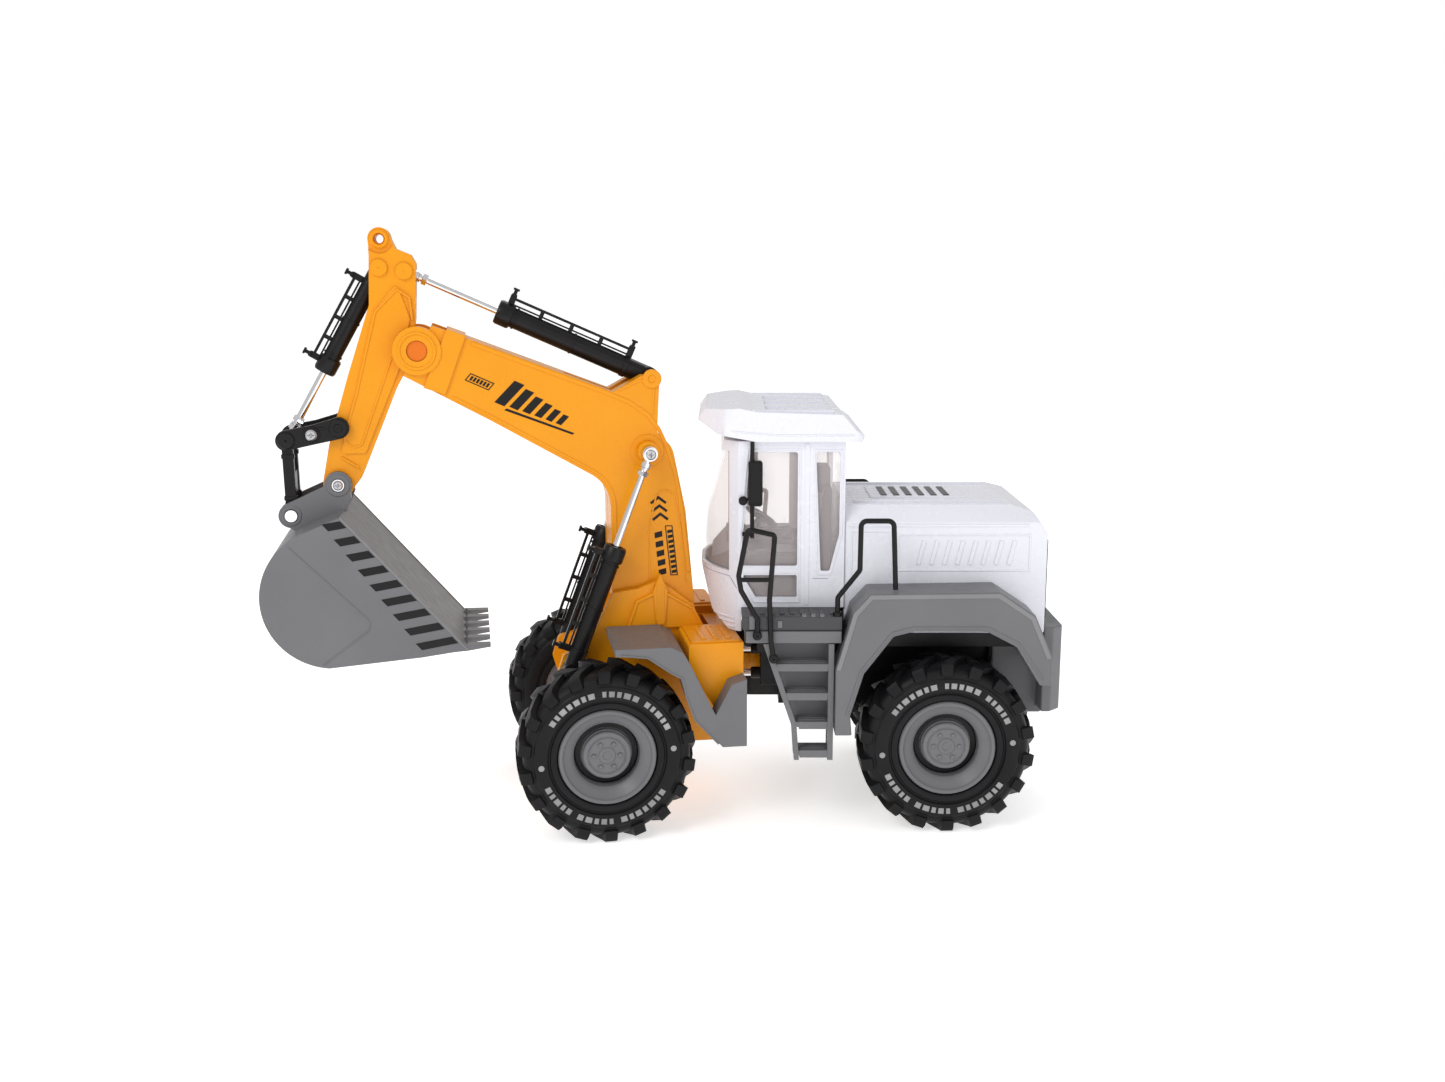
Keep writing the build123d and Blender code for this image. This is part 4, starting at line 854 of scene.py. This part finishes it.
def run_place(start, end, y):
    """A place in metres whose X runs from one pivot to the other."""
    way = (end - start).normalized()
    across_machine = Vector((0, 1, 0))
    up = way.cross(across_machine)
    turn = Matrix((way, across_machine, up)).transposed().to_4x4()
    return Matrix.Translation(start + Vector((0, y * MM, 0))) @ turn


BARREL_LENGTHS = {"lift": 69.4, "stick": 84.4, "bucket": 59.5}
for hand, side in (("right", 1), ("left", -1)):
    cylinder_trim("lift_" + hand, "lift_barrels", "lift_rods", point(LIFT_BASE), point(LIFT_EYE),
                  side * LIFT_Y, BARREL_LENGTHS["lift"], 4.6, 1)
cylinder_trim("stick_cylinder", "stick_barrel", "stick_rod", point(HORN_PIN), point(STICK_ROD_PIN), 0.0,
              BARREL_LENGTHS["stick"], 5.2, -1)
cylinder_trim("bucket_cylinder", "bucket_barrel", "bucket_rod", point(BARREL_PIN), point(ROCKER_END), 0.0,
              BARREL_LENGTHS["bucket"], 4.3, -1)


# ---------------------------------------------------------------- front frame and mudguards
FRONT_AXLE_X = spot("front_wheels_roll")[0]
AXLE_Z = pivot("rear_wheels_roll").z / MM
REAR_AXLE_X = (joints["rear_wheels_roll"]["pos_m"][0] - PIVOT.x) / MM
# along the mudguards' arches: degrees round the axle from straight back, and the gap beyond the tyre
FRONT_ARCH = [(82, 8.6), (67.8, 10.4), (52.7, 8.9), (45.6, 10.2), (36.9, 5.4), (21, 3.2), (12.7, 6.6),
              (4, 12.0)]
REAR_ARCH = [(161, 8.5), (137.7, 14.2), (115.9, 21.1), (106.4, 19.8), (73.5, 19.8), (58, 18.7), (38, 13.4)]


def frame_trim(grid):
    """Raised edge of the boss round the boom's foot, and the rib's spike."""
    face = 23.8
    boss = [(-70.6, 98.6), (-65.6, 112.4), (-57.0, 116.2), (-50.2, 116.2), (-36.2, 107.6), (-31.6, 98.6)]
    strip(grid, boss, 1.5, face - 0.4, face + 0.6)
    spike = [(-57.4, 118.0), (-53.5, 127.4), (-49.6, 118.0), (-50.9, 101.5), (-56.1, 101.5)]
    prism(grid, spike, 21.6, 24.9)


def wing_trim(grid):
    """Grooved lines on the side box and a shelf on its top."""
    block(grid, (-42.5, -17.2), (24.6, 58.4), (97.6, 99.0))
    for index in range(3):
        block(grid, (-37.0 + index * 6.5, -34.4 + index * 6.5), (28.0, 55.0), (98.8, 99.6))


both("front_frame_trim", "front_frame", YELLOW, FRONT, frame_trim, bevel=0.4)
both("front_frame_shelf", "front_frame", YELLOW, FRONT, wing_trim, bevel=0.3)


def round_wheel(axle_x, degrees, gap):
    """A place beyond the tyre: how far round from straight back and how far out from the tread."""
    turn = math.radians(degrees)
    return axle_x + (TYRE_R + gap) * math.cos(turn), AXLE_Z + (TYRE_R + gap) * math.sin(turn)


def fender_trim(grid):
    """The mudguard's rolled edge, along the side that faces out."""
    line = [round_wheel(FRONT_AXLE_X, degrees, gap - 0.9) for degrees, gap in FRONT_ARCH]
    strip(grid, line, 1.0, 71.4, 72.4)


both("front_fender_lip", "front_frame", GREY, FRONT, fender_trim, bevel=0.25)


# ---------------------------------------------------------------- cab
CAB_HALF = 48.0
DECK_TOP = (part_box("deck")[1].z) / MM
DECK_HALF = (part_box("deck")[1].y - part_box("deck")[0].y) / 2 / MM
CAB_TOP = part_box("cab_shell")[1].z / MM
CAB_FRONT = -28.4
PLAN_R = (CAB_HALF ** 2 + (CAB_FRONT + 8.0) ** 2) / (2 * -(CAB_FRONT + 8.0))
PLAN_X = CAB_FRONT + PLAN_R
HOOD_HALF = CAB_HALF - 1.0
HOOD_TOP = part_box("hood")[1].z / MM
HOOD_BACK = (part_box("hood")[1].x - PIVOT.x) / MM
FENDER_FACE = (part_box("rear_fender_right")[1].y - PIVOT.y) / MM


def cab_skin(x):
    """Half of the cab's width at x, where the front is bowed."""
    if x > -8.0:
        return CAB_HALF
    return math.sqrt(max(0.0, PLAN_R ** 2 - (PLAN_X - x) ** 2))


def on_skin(x, z, proud=0.12):
    return (x, cab_skin(x) + proud, z)


def cab_seams(grid):
    """Fine dark lines where the cab's mouldings meet."""
    front = [on_skin(x, 128.4) for x in (-25.6, -23.5, -21.0, -18.0, -15.0, -12.4)]
    round_bar(grid, front, 0.17, sides=6)
    for shift in (0.0, 1.5):
        line = [on_skin(-12.4 + shift * 0.6 + 10.0 * t, 128.4 - shift - 15.0 * t)
                for t in (0, 0.25, 0.5, 0.75, 1.0)]
        round_bar(grid, line, 0.17, sides=6)
    round_bar(grid, [on_skin(26.4, z) for z in (114.0, 135.0, 160.0, 192.5)], 0.15, sides=6)
    round_bar(grid, [on_skin(x, 128.0) for x in (30.0, 34.0, 38.0)], 0.13, sides=6)


def cab_ribs(grid):
    """Raised frames of the door, pillars and rear window."""
    door = [(-3.2, CAB_TOP - 4.3), (23.3, CAB_TOP - 4.3), (23.3, 115.6), (0.0, 115.6), (-7.6, 129.0),
            (-8.0, 134.5)]
    strip(grid, door, 0.9, CAB_HALF - FOOT, CAB_HALF + 0.4, closed=True)
    strip(grid, [(23.0, 132.1), (-6.6, 132.1)], 3.0, CAB_HALF - FOOT, CAB_HALF + 0.25)
    rear = [(30.2, CAB_TOP - 4.6), (44.6, CAB_TOP - 4.6), (44.6, 150.6), (39.2, 130.2), (32.6, 130.2)]
    strip(grid, rear, 0.9, CAB_HALF - FOOT, CAB_HALF + 0.4, closed=True)
    strip(grid, [(27.0, 114.0), (27.0, CAB_TOP - 1.0)], 2.4, CAB_HALF - FOOT, CAB_HALF + 0.3)


def nose_louvres(grid):
    """Three lips that wrap round the nose's lower corner."""
    for index in range(3):
        z = 101.9 + 2.4 * index
        lowest = -13.0 - (z - 100.2) * 8.5 / 7.8
        line = []
        for y in (24.0, 32.0, 36.0, 39.0, 42.0, 44.5, 46.5):
            bow = PLAN_X - math.sqrt(PLAN_R ** 2 - y ** 2)
            line.append((max(lowest, bow) - 0.15, y, z))
        round_bar(grid, line, 0.5, sides=8)


def roof_trim(grid):
    """Steps and a gutter on the roof's side."""
    low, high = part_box("cab_roof")
    half = (high.y - low.y) / 2 / MM
    base = low.z / MM
    strip(grid, [(-12.0, base + 5.4), (10.0, base + 3.4), (50.0, base + 3.4)], 0.8, half - FOOT, half + 0.35)
    for index in range(2):
        x = 40.0 + index * 4.5
        z = base + 12.4 - index * 4.4
        block(grid, (x, x + 2.8), (half - 12.0, half - 3.0), (z, z + 2.0))
    block(grid, (-4.0, 40.0), (half - 4.6, half - 3.6), (base + 13.0, base + 15.6))


def cab_inside_shade(grid):
    """Painted shade: a black panel behind the door's low window and a dark sill round the cab's floor, standing
    for the dim inside of the cab.
    """
    block(grid, (-6.0, 24.0), (43.6, 44.6), (115.0, 131.6))
    block(grid, (-3.0, 23.0), (30.0, 43.4), (133.5, 139.2))
    block(grid, (2.0, 22.0), (31.5, 42.0), (139.2, 140.4))


def dashboard_trim(grid):
    """Binnacle with four buttons."""
    block(grid, (-14.0, -5.0), (-13.0, 13.0), (140.0, 146.0))
    for index in range(4):
        block(grid, (-8.8, -6.2), (-11.0 + index * 6.2, -7.4 + index * 6.2), (145.8, 147.0))


def seat_trim(grid):
    """The seat's padding: cushion, back cushion, headrest and two arms."""
    block(grid, (13.0, 33.0), (-13.5, 13.5), (129.6, 133.8))
    hinge = Matrix.Translation((34, 0, 130))
    lean = hinge @ Matrix.Rotation(math.radians(8), 4, "Y") @ hinge.inverted()
    block(grid, (32.5, 37.0), (-12.5, 12.5), (134.0, 160.0), turn=lean)
    block(grid, (34.0, 41.5), (-9.0, 9.0), (166.0, 180.0))
    for side in (-1, 1):
        block(grid, (18.0, 36.0), sorted((side * 15.0, side * 18.5)), (139.0, 142.0))


def mirror_trim(grid):
    """The clamp that holds the mirror to the pillar, and the rim of the mirror's head."""
    lathe(grid, [(0.02, 48.1), (2.0, 48.1), (2.3, 48.8), (2.3, 50.2), (1.7, 51.0), (0.02, 51.2)], 24,
          turn=Matrix.Translation((-5.6, 0, 168.5)))
    round_bar(grid, [(-5.6, 49.6, 168.5), (-2.6, 50.0, 169.6)], 0.8, sides=10)
    head = [(-2.4, CAB_TOP - 31.6), (3.5, CAB_TOP - 31.6), (3.5, CAB_TOP - 10.2), (-2.4, CAB_TOP - 10.2)]
    strip(grid, head, 0.7, 51.9, 52.5, closed=True)


SEAM = plastic("seam_shadow", (0.36, 0.35, 0.42), (0.30, 0.30, 0.36), 0.6, grain=0.1)
both("cab_seams", "rear_chassis", SEAM, REAR, cab_seams)
both("cab_frames", "rear_chassis", WHITE, REAR, cab_ribs, bevel=0.25)
both("nose_louvres", "rear_chassis", WHITE, REAR, nose_louvres)
both("roof_trim", "rear_chassis", WHITE, REAR, roof_trim, bevel=0.3)
# Painted shade: black pieces that stand for the dim inside of the cab.
both("cab_inside_shade", "rear_chassis", BLACK, REAR, cab_inside_shade, bevel=0.5)
piece_from("dashboard_trim", "rear_chassis", DARK_GREY, REAR, dashboard_trim, bevel=0.6)
piece_from("seat_cushions", "rear_chassis", DARK_GREY, REAR, seat_trim, bevel=1.4)
both("mirror_trim", "rear_chassis", BLACK, REAR, mirror_trim, bevel=0.15)


# ---------------------------------------------------------------- deck, ladders and rails
def deck_face(grid):
    """The lighter plate along the deck's lower half."""
    block(grid, (-4.2, 43.8), (DECK_HALF - 1.6, DECK_HALF - 0.25), (DECK_TOP - 13.7, DECK_TOP - 7.6))


def deck_tabs(grid):
    """Moulded tabs on the deck's edge and the bracket at its front end."""
    for x in (25.0, 29.5, 34.0):
        block(grid, (x - 1.1, x + 1.1), (DECK_HALF - 3.4, DECK_HALF - 0.2), (DECK_TOP - FOOT, DECK_TOP + 0.9))
    block(grid, (-2.6, 0.8), (DECK_HALF - FOOT, DECK_HALF + 0.8), (DECK_TOP - 6.4, DECK_TOP + 0.4))
    block(grid, (11.6, 14.0), (DECK_HALF - FOOT, DECK_HALF + 0.6), (DECK_TOP - 5.6, DECK_TOP - 2.0))


def deck_tread(grid):
    """Anti-slip ribs on the deck beside the cab."""
    for index in range(9):
        x = -2.0 + index * 5.0
        block(grid, (x, x + 2.2), (CAB_HALF + 3.0, DECK_HALF - 5.0), (DECK_TOP - 0.2, DECK_TOP + 0.45))


def ladder_trim(grid):
    """Ribs on each step's top and a lip along its front."""
    for index in range(4):
        z = 86.7 - 15.2 * index
        x_low = min(9.2 + 5.8 * index, 21.2)
        for y in (DECK_HALF - 10.0, DECK_HALF - 7.0, DECK_HALF - 4.0):
            block(grid, (x_low + 1.5, 36.6), (y - 0.5, y + 0.5), (z + 1.1, z + 1.75))
        block(grid, (x_low + 2.0, 37.2), (DECK_HALF - 1.2, DECK_HALF - 0.1), (z - 2.4, z + 1.5))


def rail_feet(grid):
    """Round sockets where the handrails enter the deck and mudguard."""
    y = DECK_HALF + 1.4
    for x, z in ((9.7, DECK_TOP - 21.2), (1.4, DECK_TOP - 9.2)):
        button(grid, (x, z), 2.3, y - 1.9, y + 1.9, edge=0.6)
    lathe(grid, [(1.3, 0.0), (2.4, 0.0), (2.4, 1.6), (1.9, 2.2), (1.3, 2.2)], 24,
          turn=Matrix.Translation((41.7, DECK_HALF - 2.6, DECK_TOP)) @ Matrix.Rotation(math.pi / 2, 4, "X"))


both("deck_face", "rear_chassis", GREY, REAR, deck_face, bevel=0.25)
both("deck_tabs", "rear_chassis", GREY, REAR, deck_tabs, bevel=0.25)
both("deck_tread", "rear_chassis", DARK_GREY, REAR, deck_tread, bevel=0.15)
both("ladder_trim", "rear_chassis", GREY, REAR, ladder_trim, bevel=0.2)
both("rail_sockets", "rear_chassis", BLACK, REAR, rail_feet)


# ---------------------------------------------------------------- engine cover, mudguards and back
def hood_sides(grid):
    """Raised side panel with louvres, and the step below the sloped edge."""
    y = HOOD_HALF
    strip(grid, [(47.5, HOOD_TOP - 9.4), (HOOD_BACK - 10.0, HOOD_TOP - 9.4)], 1.4, y - FOOT, y + 0.45)
    panel = [(74.0, 132.0), (HOOD_BACK - 9.0, 132.0), (HOOD_BACK - 9.0, 150.5), (74.0, 150.5)]
    strip(grid, panel, 1.0, y - FOOT, y + 0.4, closed=True)
    for index in range(8):
        x = 84.0 + index * 6.6
        strip(grid, [(x, 135.0), (x + 3.0, 147.5)], 2.0, y - FOOT, y + 0.65)
    strip(grid, [(50.0, 128.0), (50.0, 152.0), (70.0, 152.0), (70.0, 128.0)], 0.7, y - FOOT, y + 0.3)


def hood_top(grid):
    """Two ribs and a raised lid on the engine cover's top."""
    z = HOOD_TOP
    for y in (-30.0, 30.0):
        block(grid, (52.0, HOOD_BACK - 22.0), (y - 1.2, y + 1.2), (z - FOOT, z + 0.9))
    block(grid, (62.0, 112.0), (-18.0, 18.0), (z - FOOT, z + 0.8))


def hood_vent_shade(grid):
    """Six dark blocks on the lid: painted shade standing for the inside of vent slots."""
    z = HOOD_TOP + 0.7
    for index in range(6):
        x = 68.0 + index * 6.6
        block(grid, (x, x + 3.2), (-14.0, 14.0), (z, z + 0.5))


def fender_top_highlight(grid):
    """A paler strip along the top of the rear mudguard: a painted highlight where its top edge catches the light.
    """
    line = [(42.2, 86.0), (50.4, 114.8), (58.2, 123.6), (121.4, 124.4), (138.6, 112.9), (147.6, 92.0)]
    strip(grid, line, 2.4, FENDER_FACE - FOOT, FENDER_FACE + 0.4)


def fender_arch(grid):
    """The raised edge that follows the rear mudguard's arch."""
    line = [round_wheel(REAR_AXLE_X, degrees, gap + 0.9) for degrees, gap in REAR_ARCH]
    strip(grid, line, 1.1, FENDER_FACE - FOOT, FENDER_FACE + 0.35)


def steering_ram(grid):
    """The two bright moulded rods beside the hinge, held by the chassis."""
    for z in (72.0, 85.5):
        turn = Matrix.Translation((0, 27.0, z)) @ Matrix.Rotation(math.pi / 2, 4, "Z")
        lathe(grid, [(0.02, 7.0), (1.7, 7.0), (1.9, 6.2), (1.9, -8.0), (0.02, -8.0)], 20, turn=turn)


def ram_barrel(grid):
    """The rods' black barrels and the block that holds them."""
    for z in (72.0, 85.5):
        turn = Matrix.Translation((0, 27.0, z)) @ Matrix.Rotation(math.pi / 2, 4, "Z")
        lathe(grid, [(0.02, 1.0), (2.7, 1.0), (3.1, 0.2), (3.1, -14.0), (0.02, -14.0)], 24, turn=turn)
    block(grid, (4.0, 16.0), (22.0, 30.5), (66.0, 92.0))


both("hood_side_panel", "rear_chassis", WHITE, REAR, hood_sides, bevel=0.25)
piece_from("hood_top_panel", "rear_chassis", WHITE, REAR, hood_top, bevel=0.35)
# Painted shade: dark blocks that stand for the inside of vent slots.
piece_from("hood_vent_shade", "rear_chassis", DARK_GREY, REAR, hood_vent_shade, bevel=0.15)
# Painted highlight: a paler grey strip along the rear mudguard's top edge.
both("rear_fender_highlight", "rear_chassis", LIGHT_GREY, REAR, fender_top_highlight, bevel=0.3)
both("rear_fender_arch", "rear_chassis", GREY, REAR, fender_arch, bevel=0.2)
both("steering_rods", "rear_chassis", CHROME, REAR, steering_ram)
both("steering_barrels", "rear_chassis", BLACK, REAR, ram_barrel, bevel=0.4)


# ---------------------------------------------------------------- stage, light and camera
CAMERA_FROM_PIVOT = (-16, -768, 289)        # millimetres
CAMERA_PITCH = 11.12                        # degrees below level
LENS = 35.9
FLOOR_GLOW = 0.55
SKY_SEEN = 1.0                              # what the camera sees of the sky
SKY_LIGHT = 0.62                            # what lights the toy


def area_light(name, place, aim, size, power):
    data = bpy.data.lights.new(name, "AREA")
    data.shape = "RECTANGLE"
    data.size, data.size_y = size
    data.energy = power
    light = bpy.data.objects.new(name, data)
    light.location = place
    light.rotation_mode = "QUATERNION"
    light.rotation_quaternion = (Vector(aim) - Vector(place)).to_track_quat("-Z", "Y")
    bpy.context.scene.collection.objects.link(light)


def make_stage():
    """A white light table: it glows a little by itself, so that it and the world read as plain white."""
    bpy.ops.mesh.primitive_plane_add(size=14.0, location=(0, 0, 0))
    floor = bpy.context.object
    floor.name = "floor"
    material, tree, shader = new_material("floor")
    shader.inputs["Base Color"].default_value = (0.9, 0.9, 0.9, 1)
    shader.inputs["Roughness"].default_value = 0.7
    shader.inputs["Emission Color"].default_value = (1.0, 1.0, 1.0, 1)
    shader.inputs["Emission Strength"].default_value = FLOOR_GLOW
    paint(floor, material)
    world = bpy.data.worlds.new("studio")
    bpy.context.scene.world = world
    world.use_nodes = True
    sky = world.node_tree.nodes["Background"]
    sky.inputs["Color"].default_value = (1.0, 1.0, 1.0, 1)
    seen = add_node(world.node_tree, "ShaderNodeLightPath")
    glow = add_node(world.node_tree, "ShaderNodeMapRange")
    glow.inputs["To Min"].default_value = SKY_LIGHT
    glow.inputs["To Max"].default_value = SKY_SEEN
    world.node_tree.links.new(seen.outputs["Is Camera Ray"], glow.inputs["Value"])
    world.node_tree.links.new(glow.outputs["Result"], sky.inputs["Strength"])
    middle = (0.0, 0.0, 0.12)
    area_light("key", (-0.7, -1.0, 1.1), middle, (0.6, 0.6), 7.5)
    area_light("fill", (0.9, -1.1, 0.5), middle, (0.9, 0.9), 2.5)
    area_light("back", (0.2, 1.0, 1.2), middle, (1.0, 0.6), 4)
    bpy.context.scene.view_settings.view_transform = "Standard"


def make_camera():
    """To the left of the machine and a little above it, aimed slightly down."""
    data = bpy.data.cameras.new("camera")
    data.sensor_width = 36.0
    data.lens = LENS
    camera = bpy.data.objects.new("camera", data)
    camera.location = PIVOT + Vector(CAMERA_FROM_PIVOT) * MM
    camera.rotation_euler = (math.radians(90 - CAMERA_PITCH), 0, 0)
    bpy.context.scene.collection.objects.link(camera)
    bpy.context.scene.camera = camera


make_stage()
make_camera()
bpy.context.view_layer.update()
